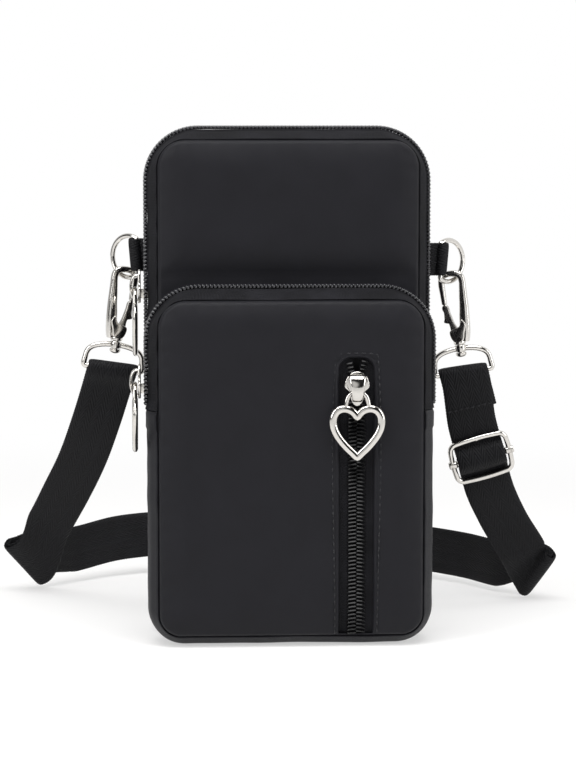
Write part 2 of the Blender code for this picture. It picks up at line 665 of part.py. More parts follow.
def make_slider(name, place):
    """Make a zip slider: two plates on a web, side lips and an arched bridge.

    The local frame has z along the zip, y out of the bag (minus y is outwards)
    and x across. The tape's outer face is at y = 0.
    """
    top = -(GAP + COIL_HEIGHT + GAP)
    outline = []
    half = SLIDER_WIDTH / 2
    nose = SLIDER_NOSE_WIDTH / 2
    length = SLIDER_LENGTH / 2
    for index in range(HALF_TURN_STEPS + 1):
        turn = pi * index / HALF_TURN_STEPS
        rise = SLIDER_HEAD_SHARE + (1 - SLIDER_HEAD_SHARE) * sin(turn)
        outline.append((half * cos(turn), length * rise))
    for index in range(HALF_TURN_STEPS + 1):
        turn = pi + pi * index / HALF_TURN_STEPS
        drop = SLIDER_TAIL_SHARE - (1 - SLIDER_TAIL_SHARE) * sin(turn)
        outline.append((nose * cos(turn), -length * drop))
    flat = [Vector((x, 0, z)) for x, z in outline]
    plate = prism(
        name, [place @ (p + Y_AXIS * top) for p in flat], Vector((0, 0, 0)),
        (place.to_3x3() @ Y_AXIS) * -SLIDER_PLATE, METAL)
    back = BAND_WALL + GAP
    floor = prism(
        f"{name}_floor", [place @ (p * SLIDER_FLOOR_SHARE + Y_AXIS * back) for p in flat], Vector((0, 0, 0)),
        (place.to_3x3() @ Y_AXIS) * SLIDER_PLATE, METAL)
    combine(plate, floor, "UNION")
    web = rounded_rect(
        SLIDER_WEB, SLIDER_WEB_LENGTH, SLIDER_WEB * SLIDER_WEB_CORNER_SHARE,
        Vector((0, top - SLIDER_PLATE / 2, SLIDER_WEB_OFFSET)), X_AXIS, Z_AXIS)
    span = back + SLIDER_PLATE - top
    post = prism(
        f"{name}_web", [place @ p for p in web], Vector((0, 0, 0)), (place.to_3x3() @ Y_AXIS) * span, METAL)
    combine(plate, post, "UNION")
    arch = []
    reach = (BRIDGE_LENGTH - BRIDGE_WALL) / 2
    foot = top - SLIDER_PLATE + BRIDGE_WALL / 2
    for index in range(BRIDGE_STEPS + 1):
        turn = pi * index / BRIDGE_STEPS
        rise = (BRIDGE_RISE - BRIDGE_WALL / 2) * sin(turn) ** BRIDGE_POWER
        arch.append(Vector((0, foot - rise, reach * cos(turn))))
    half_wide = BRIDGE_WIDTH / 2
    rings = []
    for index, point in enumerate(arch):
        before = arch[max(index - 1, 0)]
        after = arch[min(index + 1, len(arch) - 1)]
        normal = (after - before).normalized().cross(X_AXIS) * (BRIDGE_WALL / 2)
        rings.append([place @ p for p in (
            point - X_AXIS * half_wide - normal, point + X_AXIS * half_wide - normal,
            point + X_AXIS * half_wide + normal, point - X_AXIS * half_wide + normal)])
    bridge = loft(f"{name}_bridge", rings, METAL)
    combine(plate, bridge, "UNION")
    return plate


def slider_place(x, y, z, turn):
    """Return the placement of a slider turned about the vertical."""
    return Matrix.Translation((x, y, z)) @ Matrix.Rotation(turn, 4, "Z")


def pull_offset():
    """Return how far the pull's axis stands out of the tape and down the slider."""
    out = GAP + COIL_HEIGHT + GAP + SLIDER_PLATE + GAP + PULL_WIRE / 2
    return out, PULL_AXIS_DROP


def zip_slider_places():
    """Return each slider's name, place and turn about the vertical."""
    crest = SEAM_WIDTH / 2 + BULGE
    front_y = (FRONT_REAR_Y + FRONT_FRONT_Y) / 2
    return (
        ("main", -crest, 0, MAIN_SLIDER_Z, -pi / 2),
        ("front", -crest, front_y, FRONT_SLIDER_Z, -pi / 2),
        ("slot", SLOT_CENTRE_X, slot_sheet_y(SLOT_SLIDER_Z) + GAP, SLOT_SLIDER_Z, 0),
    )


def build_zip_sliders():
    """Place the three sliders and their pulls."""
    out, down = pull_offset()
    for name, x, y, z, turn in zip_slider_places():
        place = slider_place(x, y, z, turn)
        wide_end_down = Matrix.Rotation(0 if name == "slot" else pi, 4, "Y")
        make_slider(f"{name}_slider", place @ wide_end_down)
        hang = place @ Matrix.Translation((0, -out, -down))
        make_pull(f"{name}_pull", hang)


def clear_scene():
    """Remove every object that is already there."""
    for obj in list(bpy.data.objects):
        bpy.data.objects.remove(obj)


def route_point(shares):
    """Return a place on the strap's route."""
    across, back, up = shares
    return Vector((across * STRAP_SPREAD, back * STRAP_BACK_REACH, up * STRAP_BACK_REACH))


def route_points(table):
    """Return the places of a table of shares."""
    return [route_point(shares) for shares in table]


class Ribbon:
    """Flat webbing given by rungs: pairs of edge points with a thickness."""

    def __init__(self):
        self.rungs = []

    def add(self, centre, across, width=STRAP_WIDTH):
        """Add a rung from its middle and its direction across."""
        half = across * (width / 2)
        self.rungs.append((centre - half, centre + half))

    def normals(self):
        """Return the sheet's normal at each rung."""
        middles = [(a + b) / 2 for a, b in self.rungs]
        result = []
        for index, (a, b) in enumerate(self.rungs):
            before = middles[max(index - 1, 0)]
            after = middles[min(index + 1, len(middles) - 1)]
            result.append((after - before).cross(b - a).normalized())
        return result

    def shifted(self, offset):
        """Return rungs moved along their own normals."""
        return [
            (a + n * offset, b + n * offset) for (a, b), n in zip(self.rungs, self.normals())
        ]


def ribbon_solid(name, rungs, wall, finish):
    """Give rungs a thickness, half of it to each side, as one closed solid."""
    sheet = Ribbon()
    sheet.rungs = rungs
    rings = []
    for (a, b), normal in zip(rungs, sheet.normals()):
        push = normal * (wall / 2)
        rings.append([a - push, b - push, b + push, a + push])
    return loft(name, rings, finish)


def build_tab(side, word):
    """Make a folded webbing tab that holds the ring's bar."""
    bar_x = RING_BAR_X[side]
    root_x = SEAM_WIDTH / 2 + GAP
    turn_radius = RING_WIRE / 2 + GAP + TAB_WALL / 2
    layer = (TAB_SLIT + TAB_WALL) / 2
    points = [(root_x, layer), (bar_x - turn_radius * 2, layer)]
    first = asin(layer / turn_radius)
    for index in range(TAB_TURN_STEPS + 1):
        turn = pi - first - (2 * pi - 2 * first) * index / TAB_TURN_STEPS
        points.append((bar_x + turn_radius * cos(turn), turn_radius * sin(turn)))
    points += [(bar_x - turn_radius * 2, -layer), (root_x, -layer)]
    sheet = Ribbon()
    for out, back in points:
        centre = Vector((side * out, TAB_PLANE_Y + back, RING_Z[side] + TAB_RISE))
        sheet.add(centre, Z_AXIS, TAB_WIDTH)
    ribbon_solid(f"{word}_tab", sheet.rungs, TAB_WALL, FABRIC)


def build_ring(side, word):
    """Make a D-ring: a straight bar in the tab and a bow beyond it."""
    outwards = Vector((side * cos(RING_TURN), sin(RING_TURN), 0))
    bar = Vector((side * RING_BAR_X[side], TAB_PLANE_Y, RING_Z[side]))
    points = []
    for index in range(RING_STEPS + 1):
        turn = pi * index / RING_STEPS
        reach = RING_REACH * sin(turn) ** RING_REACH_POWER if 0 < index < RING_STEPS else 0
        rise = RING_HEIGHT / 2 * abs(cos(turn)) ** RING_RISE_POWER
        points.append(bar + outwards * reach + Z_AXIS * (rise if index > RING_STEPS / 2 else -rise))
    return tube(f"{word}_d_ring", points, RING_WIRE, METAL, cyclic=True)


class HookFrame:
    """Local frame of one snap hook: outward, up the hook and through its plane."""

    def __init__(self, side):
        self.side = side
        self.up = Vector((-side * sin(HOOK_LEAN), 0, cos(HOOK_LEAN)))
        flat = Vector((side * cos(HOOK_TURN), -sin(HOOK_TURN), 0))
        self.out = (flat - self.up * flat.dot(self.up)).normalized()
        self.through = self.out.cross(self.up) * side
        seat = HOOK_SEAT_OUT
        self.seat = Vector((
            side * (RING_BAR_X[side] + seat * cos(RING_TURN)),
            TAB_PLANE_Y + seat * sin(RING_TURN),
            RING_Z[side] - RING_HEIGHT / 2,
        ))
        facing = Vector((side, 0, 0))
        self.eye_out = (facing - self.up * facing.dot(self.up)).normalized()
        self.eye_through = self.eye_out.cross(self.up) * side

    def at(self, out, up, through=0.0):
        """Return a point in the hook's own plane."""
        return self.seat + self.out * out + self.up * up + self.through * through

    def eye_at(self, out, up, through=0.0):
        """Return a point in the eye's plane, which faces the front."""
        return self.seat + self.eye_out * out + self.up * up + self.eye_through * through


def hook_spine():
    """Return (outward, up, radius share) points of the hook's bent bar."""
    half = HOOK_HALF_WIDTH
    points = [(0, -HOOK_BASE_DROP - COLLAR_DIAMETER / 2, HOOK_FOOT_SHARE)]
    points += [(half * out, -HOOK_BASE_DROP * down, swell) for out, down, swell in HOOK_LEG_SHARES]
    for index in range(HALF_TURN_STEPS + 1):
        turn = pi * index / HALF_TURN_STEPS
        points.append((half * cos(turn), HOOK_CROWN * sin(turn), 1.0))
    points += [(half * out, -HOOK_NOSE_DROP * down, swell) for out, down, swell in HOOK_NOSE_SHARES]
    return points


def build_hook(side, word):
    """Make the hook, its gate, the gate's pin and the swivel eye."""
    frame = HookFrame(side)
    spine = hook_spine()
    points = [frame.at(out, up) for out, up, _ in spine]
    base_low = -HOOK_COLLAR_DROP + COLLAR_HEIGHT
    half_base = HOOK_BASE_WIDTH / 2
    foot, hip, shoulder, neck, cheek = (half_base * share for share in HOOK_BASE_SHARES)
    hook_outline = [
        (-foot, base_low), (foot, base_low), (hip, -HOOK_BASE_DROP - GAP),
        (shoulder, -HOOK_BASE_DROP + COLLAR_HEIGHT), (-neck, -GATE_PIVOT_DROP + GATE_EAR_RADIUS),
        (-cheek, -GATE_PIVOT_DROP + GATE_EAR_RADIUS * HOOK_CHEEK_SHARE),
        (-cheek, -GATE_PIVOT_DROP - GATE_EAR_RADIUS),
    ]
    half_thick = HOOK_BASE_THICKNESS / 2
    base = prism(
        f"{word}_hook", [frame.at(out, up, -half_thick) for out, up in hook_outline], Vector((0, 0, 0)),
        frame.through * HOOK_BASE_THICKNESS, METAL)
    bend = tube(f"{word}_hook_bend", points, HOOK_WIRE, METAL, radii=[share for _, _, share in spine])
    combine(base, bend, "UNION")
    slot_half = GATE_WIDTH / 2 + GAP
    slot_outline = [
        (GATE_PIVOT_OUT + GATE_EAR_RADIUS + GAP, -GATE_PIVOT_DROP - GATE_EAR_RADIUS - GAP),
        (GATE_PIVOT_OUT + GATE_EAR_RADIUS + GAP * 2, -HOOK_BASE_DROP + OVERRUN * 2),
        (-half_base - OVERRUN, -HOOK_BASE_DROP + OVERRUN * 2),
        (-half_base - OVERRUN, -GATE_PIVOT_DROP - GATE_EAR_RADIUS - GAP),
    ]
    slot = prism(
        f"{word}_hook_slot_cutter", [frame.at(out, up, -slot_half) for out, up in slot_outline],
        Vector((0, 0, 0)), frame.through * (slot_half * 2), METAL)
    combine(base, slot, "DIFFERENCE")
    bore = rod(
        f"{word}_hook_bore_cutter",
        frame.at(GATE_PIVOT_OUT, -GATE_PIVOT_DROP, -half_thick - OVERRUN),
        frame.at(GATE_PIVOT_OUT, -GATE_PIVOT_DROP, half_thick + OVERRUN),
        GATE_PIN_DIAMETER + GAP, METAL)
    combine(base, bore, "DIFFERENCE")
    collar_low = -HOOK_COLLAR_DROP
    head_top = collar_low - GAP - EYE_BOSS_HEIGHT - GAP
    collar = rod(
        f"{word}_hook_collar", frame.eye_at(0, collar_low), frame.eye_at(0, base_low + GAP),
        COLLAR_DIAMETER, METAL)
    shank = rod(
        f"{word}_hook_shank", frame.eye_at(0, head_top - RIVET_HEIGHT / 2), frame.eye_at(0, base_low),
        SHANK_DIAMETER, METAL)
    head = rod(
        f"{word}_hook_rivet", frame.eye_at(0, head_top - RIVET_HEIGHT), frame.eye_at(0, head_top),
        RIVET_DIAMETER, METAL)
    for piece in (collar, shank, head):
        combine(base, piece, "UNION")
    rod(
        f"{word}_gate_pin", frame.at(GATE_PIVOT_OUT, -GATE_PIVOT_DROP, -half_thick),
        frame.at(GATE_PIVOT_OUT, -GATE_PIVOT_DROP, half_thick), GATE_PIN_DIAMETER, METAL)
    build_gate(frame, word)
    build_eye(frame, word)


def build_gate(frame, word):
    """Make the gate: an ear on the pin, a bar up to the nose and a thumb nib."""
    half = GATE_WIDTH / 2
    top_out = -HOOK_HALF_WIDTH
    top_up = -HOOK_NOSE_DROP - HOOK_WIRE / 2
    low_out = GATE_PIVOT_OUT
    low_up = -GATE_PIVOT_DROP
    lean = atan2(top_out - low_out, top_up - low_up)
    along = (sin(lean), cos(lean))
    side = (cos(lean), -sin(lean))
    thick = GATE_THICKNESS / 2
    outline = []
    for index in range(HALF_TURN_STEPS + 1):
        turn = -pi / 2 - lean + pi * (index / HALF_TURN_STEPS) - pi / 2
        outline.append((low_out + GATE_EAR_RADIUS * cos(turn), low_up + GATE_EAR_RADIUS * sin(turn)))
    length = ((top_out - low_out) ** 2 + (top_up - low_up) ** 2) ** 0.5
    above, nib, below = GATE_NIB_SHARES
    for share, offset in (
            (1.0, thick), (1.0, -thick), (above, -thick), (nib, -thick - GATE_THUMB), (below, -thick)):
        outline.append((
            low_out + along[0] * length * share + side[0] * offset,
            low_up + along[1] * length * share + side[1] * offset,
        ))
    gate = prism(
        f"{word}_gate", [frame.at(out, up, -half) for out, up in outline], Vector((0, 0, 0)),
        frame.through * GATE_WIDTH, METAL)
    bore = rod(
        f"{word}_gate_bore_cutter", frame.at(low_out, low_up, -half - OVERRUN),
        frame.at(low_out, low_up, half + OVERRUN), GATE_PIN_DIAMETER + GAP * 2, METAL)
    combine(gate, bore, "DIFFERENCE")


def eye_bar_up():
    """Return the height of the eye's straight bar in the hook's frame."""
    return -HOOK_COLLAR_DROP - GAP - EYE_BOSS_HEIGHT / 2 - EYE_BAR_DROP


def build_eye(frame, word):
    """Make the swivel eye: a boss on the hook's shank and a wide loop with a straight bar."""
    boss_top = -HOOK_COLLAR_DROP - GAP
    boss_low = boss_top - EYE_BOSS_HEIGHT
    boss_middle = (boss_top + boss_low) / 2
    boss = rod(
        f"{word}_swivel_eye", frame.eye_at(0, boss_low), frame.eye_at(0, boss_top), EYE_BOSS_DIAMETER, METAL)
    half = (STRAP_WIDTH + EYE_WIRE) / 2 + STRAP_SIDE_CLEAR
    points = []
    for index in range(EYE_STEPS + 1):
        turn = pi * index / EYE_STEPS
        inside = 0 < index < EYE_STEPS
        rise = EYE_BAR_DROP * (1 - sin(turn) ** EYE_SHOULDER_SHARE) if inside else EYE_BAR_DROP
        points.append(frame.eye_at(half * cos(turn), boss_middle - rise))
    loop = tube(f"{word}_eye_loop", points, EYE_WIRE, METAL, cyclic=True)
    combine(boss, loop, "UNION")
    bore = rod(
        f"{word}_eye_bore_cutter", frame.eye_at(0, boss_low - OVERRUN), frame.eye_at(0, boss_top + OVERRUN),
        SHANK_DIAMETER + GAP * 2, METAL)
    combine(boss, bore, "DIFFERENCE")


def fold_rungs(strap, before, outer, low):
    """Fold the strap back over a slanting crease between its outer and low corners."""
    middle = (outer + low) / 2
    across = (low - outer).normalized()
    width = (low - outer).length
    travel = (middle - before).normalized()
    onward = (travel - across * travel.dot(across)).normalized()
    front = onward.cross(across).normalized()
    centre = middle - front * FOLD_RADIUS - onward * FOLD_RADIUS
    for index in range(HALF_TURN_STEPS + 1):
        turn = pi * index / HALF_TURN_STEPS
        place = centre + front * (FOLD_RADIUS * cos(turn)) + onward * (FOLD_RADIUS * sin(turn))
        strap.add(place, across, width)


def base_route(left_bar):
    """Return the doubled strap's rungs from the left eye to the adjuster's lower side."""
    left, right = HookFrame(LEFT), HookFrame(RIGHT)
    strap = Ribbon()
    start_across = -left.eye_out
    fold_outer, fold_low = route_point(LEFT_FOLD_OUTER_SHARES), route_point(LEFT_FOLD_LOW_SHARES)
    low_across = (fold_low - fold_outer).normalized()
    drop = list(reversed(route_points(LEFT_DROP_SHARES)))
    heading = (drop[0] - left_bar).normalized()
    strap.add(left_bar + heading * (EYE_BAR_DROP * STRAP_START_SHARE), start_across)
    for index, place in enumerate(drop):
        share = ((index + 1) / (len(drop) + 1)) ** LEFT_TWIST_POWER
        strap.add(place, start_across.lerp(low_across, share).normalized())
    fold_rungs(strap, drop[-1], fold_outer, fold_low)
    rear = list(reversed(route_points(REAR_RUN_SHARES)))
    for place in rear:
        strap.add(place, -Z_AXIS)
    fold_outer, fold_low = route_point(RIGHT_FOLD_OUTER_SHARES), route_point(RIGHT_FOLD_LOW_SHARES)
    fold_rungs(strap, rear[-1], fold_outer, fold_low)
    end_across = -right.eye_out
    low_across = (fold_low - fold_outer).normalized()
    drop = list(reversed(route_points(RIGHT_DROP_SHARES)))
    for index, place in enumerate(drop):
        share = ((index + 1) / (len(drop) + 1)) ** RIGHT_TWIST_POWER
        strap.add(place, low_across.lerp(end_across, share).normalized())
    return strap


def front_way(across, up):
    """Return the direction out of a flat piece's face that looks to the front."""
    out = across.cross(up).normalized()
    return -out if out.y > 0 else out


def woven_rungs(shares, centre, down, facing, half):
    """Return the strap's rungs through the adjuster from shares of its length."""
    rungs = []
    for along, out in shares:
        place = centre + down * (along * ADJUSTER_LENGTH) + facing * (out * ADJUSTER_LENGTH)
        rungs.append((place + half, place - half))
    return rungs


def rungs_over_bar(bar, across, up, out):
    """Return the strap's rungs over an eye's straight bar, from the front to the rear."""
    radius = EYE_WIRE / 2 + GAP + STRAP_WALL / 2
    side = across * (STRAP_WIDTH / 2)
    rungs = []
    for index in range(HALF_TURN_STEPS + 1):
        turn = pi * index / HALF_TURN_STEPS
        place = bar + out * (radius * cos(turn)) + up * (radius * sin(turn))
        rungs.append((place - side, place + side))
    return rungs


def build_strap():
    """Make the webbing strap as one long ribbon, and the adjuster on it."""
    left, right = HookFrame(LEFT), HookFrame(RIGHT)
    bar_up = eye_bar_up()
    left_bar, right_bar = left.eye_at(0, bar_up), right.eye_at(0, bar_up)
    base = base_route(left_bar)
    front = base.shifted(STRAP_LAYER_STEP / 2)
    rear = base.shifted(-STRAP_LAYER_STEP / 2)
    down = (route_point(RIGHT_DROP_SHARES[0]) - right_bar).normalized()
    across = (right.eye_out - down * right.eye_out.dot(down)).normalized()
    facing = front_way(across, down)
    centre = route_point(ADJUSTER_PLACE_SHARES) + facing * ADJUSTER_PLANE
    half = across * (STRAP_WIDTH / 2)
    left_up = (left_bar - route_point(LEFT_DROP_SHARES[-1])).normalized()
    left_across, right_across = -left.eye_out, -right.eye_out
    right_front = front_way(right_across, -down)
    left_turn = rungs_over_bar(left_bar, left_across, left_up, front_way(left_across, left_up))
    right_turn = rungs_over_bar(right_bar, right_across, -down, right_front)
    behind = EYE_WIRE / 2 + GAP + STRAP_WALL / 2
    side = right_across * (STRAP_WIDTH / 2)
    tail = []
    for share, offset in TAIL_SHARES:
        place = right_bar + down * (TAIL_LENGTH * share) - right_front * (behind * offset)
        tail.append((place - side, place + side))
    rungs = tail + list(reversed(right_turn)) + woven_rungs(WEAVE_FRONT_SHARES, centre, down, facing, half)
    rungs += list(reversed(front)) + left_turn + rear
    rungs += woven_rungs(WEAVE_REAR_SHARES, centre, down, facing, half)
    ribbon_solid("strap_webbing", rungs, STRAP_WALL, FABRIC)
    build_adjuster(centre, down, across)


def build_adjuster(centre, down, across):
    """Make the adjuster's wire frame and the bar that slides on its sides."""
    width = STRAP_WIDTH + ADJUSTER_SIDE_CLEAR * 2 + ADJUSTER_WIRE
    outline = rounded_rect(
        width, ADJUSTER_LENGTH - ADJUSTER_WIRE, ADJUSTER_CORNER, centre, across, down)
    tube("adjuster_frame", outline, ADJUSTER_WIRE, METAL, cyclic=True)
    bar = rod(
        "adjuster_bar", centre - across * (width / 2), centre + across * (width / 2), ADJUSTER_BAR, METAL)
    for sign, word in ((LEFT, "first"), (RIGHT, "second")):
        side = centre + across * (sign * width / 2)
        reach = down * (ADJUSTER_KNOB_WIDTH / 2)
        knob = rod(f"adjuster_{word}_knob", side - reach, side + reach, ADJUSTER_KNOB, METAL)
        combine(bar, knob, "UNION")
    for sign, word in ((LEFT, "first"), (RIGHT, "second")):
        side = centre + across * (sign * width / 2)
        reach = down * (ADJUSTER_KNOB_WIDTH / 2 + OVERRUN)
        bore = rod(
            f"adjuster_{word}_bore_cutter", side - reach, side + reach, ADJUSTER_WIRE + GAP * 2, METAL)
        combine(bar, bore, "DIFFERENCE")


def hang_on(name, place, prefixes, parent=None):
    """Parent the named pieces and their cutters to an empty on a joint's axis."""
    axis = bpy.data.objects.new(name, None)
    axis.empty_display_size = GAP
    axis.location = place
    bpy.context.scene.collection.objects.link(axis)
    if parent:
        axis.parent = parent
        axis.matrix_parent_inverse = Matrix.Translation(-parent.matrix_world.translation)
    bpy.context.view_layer.update()
    for piece in list(bpy.data.objects):
        if piece.type == "EMPTY" or piece.parent or not piece.name.startswith(prefixes):
            continue
        piece.parent = axis
        piece.matrix_parent_inverse = Matrix.Translation(-axis.matrix_world.translation)
    return axis


def hang_movers():
    """Give each moving group its empty on the axis it turns or slides along."""
    hooks = {word: HookFrame(side) for side, word in ((LEFT, "left"), (RIGHT, "right"))}
    middle = (hooks["left"].seat + hooks["right"].seat) / 2
    carried = ("strap_", "adjuster_", "left_swivel_eye", "left_eye_", "right_swivel_eye", "right_eye_")
    strap = hang_on("strap_swing_axis", middle, carried)
    for side, word in ((LEFT, "left"), (RIGHT, "right")):
        frame = hooks[word]
        bar = Vector((side * RING_BAR_X[side], TAB_PLANE_Y, RING_Z[side]))
        hang_on(f"{word}_ring_axis", bar, (f"{word}_d_ring",))
        hook = hang_on(f"{word}_swivel_axis", frame.seat, (f"{word}_hook", f"{word}_gate_pin"), strap)
        pivot = frame.at(GATE_PIVOT_OUT, -GATE_PIVOT_DROP)
        hang_on(f"{word}_gate_axis", pivot, (f"{word}_gate",), hook)
    out, down = pull_offset()
    for name, x, y, z, turn in zip_slider_places():
        place = slider_place(x, y, z, turn)
        slide = hang_on(f"{name}_slide_axis", place.translation, (f"{name}_slider",))
        hang_on(f"{name}_pull_axis", place @ Vector((0, -out, -down)), (f"{name}_pull",), slide)


def main():
    """Build every piece."""
    clear_scene()
    Compartment("main", MAIN_HEIGHT, MAIN_FRONT_Y, MAIN_DEPTH).build()
    Compartment("front", FRONT_HEIGHT, FRONT_FRONT_Y, FRONT_DEPTH).build()
    build_panels()
    build_slot_zip()
    build_linings()
    build_zip_sliders()
    for side, word in ((LEFT, "left"), (RIGHT, "right")):
        build_tab(side, word)
        build_ring(side, word)
        build_hook(side, word)
    build_strap()
    hang_movers()


main()
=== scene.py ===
"""Looks of a black nylon crossbody phone bag: fabric, zips, webbing and nickel hardware.

Sizes are in millimetres until a mesh is made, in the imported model's own frame:
x to the right, y away from the front face, z up from the floor.
"""

from __future__ import annotations

import logging
from collections.abc import Callable
from dataclasses import dataclass, field
from enum import Enum
from math import asin, cos, pi, radians, sin

import bpy
import numpy as np
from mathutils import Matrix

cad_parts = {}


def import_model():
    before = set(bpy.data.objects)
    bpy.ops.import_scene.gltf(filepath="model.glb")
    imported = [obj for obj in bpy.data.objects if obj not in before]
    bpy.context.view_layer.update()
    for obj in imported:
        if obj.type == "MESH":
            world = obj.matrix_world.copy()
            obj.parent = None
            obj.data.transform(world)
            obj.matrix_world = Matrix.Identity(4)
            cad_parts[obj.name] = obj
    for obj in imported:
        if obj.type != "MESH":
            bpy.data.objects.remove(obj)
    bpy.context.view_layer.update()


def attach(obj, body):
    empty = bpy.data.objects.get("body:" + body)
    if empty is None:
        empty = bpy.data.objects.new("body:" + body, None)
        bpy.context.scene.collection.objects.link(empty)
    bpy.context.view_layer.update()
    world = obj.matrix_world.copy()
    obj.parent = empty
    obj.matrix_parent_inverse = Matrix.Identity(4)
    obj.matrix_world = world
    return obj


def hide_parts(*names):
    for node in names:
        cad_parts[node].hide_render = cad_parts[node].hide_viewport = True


log = logging.getLogger("crossbody_bag")

MM = 0.001
MM_PER_METRE = 1000.0
# Handling leaves duller and brighter patches about 11 mm across
PATCH_SIZE = 100 / 9
LEFT, RIGHT = -1, 1
SHARP_ANGLE = radians(38)
HALF_TURN = pi * np.arange(9) / 8
# Turned profiles start and end this near their axis, so that their caps close
NEAR_AXIS = 0.02
TO_AXIS = (NEAR_AXIS, 1)
STITCH_FLAT = 0.8
SMOOTH = {"interpolation_type": "SMOOTHSTEP"}
Array = np.ndarray
Piece = bpy.types.Object
Tree = bpy.types.NodeTree
Node = bpy.types.Node


def unit(vectors: Array) -> Array:
    """Scale vectors to length one along their last axis."""
    return vectors / np.linalg.norm(vectors, axis=-1, keepdims=True)


def around(first: Array, second: Array) -> Array:
    """Return directions on a half turn from the first direction over the second."""
    turn = HALF_TURN[:, None]
    return first * np.cos(turn) + second * np.sin(turn)


def frontward(normal: Array) -> Array:
    """Return a normal's unit direction on the side that faces the front."""
    normal = unit(normal)
    return -normal if normal[1] > 0 else normal


def points_of(*parts: Array | float) -> Array:
    """Return points from their coordinates, each spread over the common shape."""
    return np.stack(np.broadcast_arrays(*parts), axis=-1)


def line_reach(points: Array) -> Array:
    """Return the distance walked along rows of points."""
    return np.concatenate(([0], np.cumsum(np.linalg.norm(np.diff(points, axis=0), axis=1))))


def spots_on(line: Array, places: Array) -> Array:
    """Return the points that lie at given distances along a line."""
    reach = line_reach(line)
    return points_of(*(np.interp(places, reach, column) for column in line.T))


def smooth_line(points: Array, step: float, closed: bool = False) -> Array:
    """Carry a smooth curve through points and space it evenly.

    Formula: cubic Hermite spans whose slopes are the neighbouring chords' slopes,
    weighed by the opposite chord's length, so that uneven spacing makes no loops.

    Args:
        points: Rows of coordinates, of any dimension.
        step: Distance wanted between two points of the result.
        closed: Whether the last point joins the first.

    Returns:
        Rows of evenly spaced points; a closed line doesn't repeat its first one.
    """
    points = np.asarray(points, dtype=float)
    count = len(points)
    if closed:
        points = np.concatenate((points[-2:], points, points[:3]))
    chords = np.diff(points, axis=0)
    lengths = np.linalg.norm(chords, axis=1, keepdims=True)
    slopes = chords / lengths
    weighed = slopes[:-1] * lengths[1:] + slopes[1:] * lengths[:-1]
    inner = weighed / (lengths[1:] + lengths[:-1])
    tangents = np.concatenate((slopes[:1], inner, slopes[-1:]))
    share = np.linspace(0, 1, 24, endpoint=False)[:, None]
    start, end = points[:-1, None], points[1:, None]
    start_pull = tangents[:-1, None] * lengths[:, None]
    end_pull = tangents[1:, None] * lengths[:, None]
    spans = (
        start * (1 + 2 * share) * (1 - share) ** 2
        + start_pull * share * (1 - share) ** 2
        + end * share ** 2 * (3 - 2 * share)
        + end_pull * share ** 2 * (share - 1)
    )
    if closed:
        spans = spans[2:2 + count]
    dense = spans.reshape(-1, points.shape[1])
    dense = np.concatenate((dense, dense[:1] if closed else points[-1:]))
    length = line_reach(dense)[-1]
    even = spots_on(dense, np.linspace(0, length, max(int(round(length / step)), 3) + 1))
    return even[:-1] if closed else even


def even_loop(points: Array, step: float) -> Array:
    """Return a smooth closed line with an even number of points, as a slab's caps need."""
    loop = smooth_line(points, step, closed=True)
    return loop[:len(loop) // 2 * 2]


def left_of(along: Array) -> Array:
    """Return flat directions turned a quarter to the left."""
    return points_of(-along[:, 1], along[:, 0])


def left_corner(turn: Array, half: float, top: float, radius: float) -> Array:
    """Return the quarter round from the left side of an outline to its top."""
    return points_of(-half + radius * (1 - np.cos(turn)), top - radius * (1 - np.sin(turn)))


def linked(name: str, data: bpy.types.ID) -> Piece:
    """Put a new mesh, lamp or camera into the scene.

    Args:
        name: The object's name.
        data: What it shows.

    Returns:
        The object, at the origin.
    """
    obj = bpy.data.objects.new(name, data)
    bpy.context.scene.collection.objects.link(obj)
    return obj


def ring_shares(count: int, power: float = 1.0) -> tuple[Array, Array]:
    """Return cosine and sine round a ring, squared off where the power is under one.

    Args:
        count: Points round the ring.
        power: One for a circle, less for a rounded rectangle.

    Returns:
        The two coordinates, each from -1 to 1.
    """
    turn = 2 * pi * (np.arange(count) + 0.5) / count
    across, up = np.cos(turn), np.sin(turn)
    return np.sign(across) * np.abs(across) ** power, np.sign(up) * np.abs(up) ** power


@dataclass
class Place:
    """A local frame: an origin and three unit directions, in millimetres."""

    origin: Array
    x_way: Array
    y_way: Array
    z_way: Array

    def at(self, local: Array) -> Array:
        """Return points given in this frame as points of the model."""
        return np.asarray(local, dtype=float) @ np.stack((self.x_way, self.y_way, self.z_way)) + self.origin


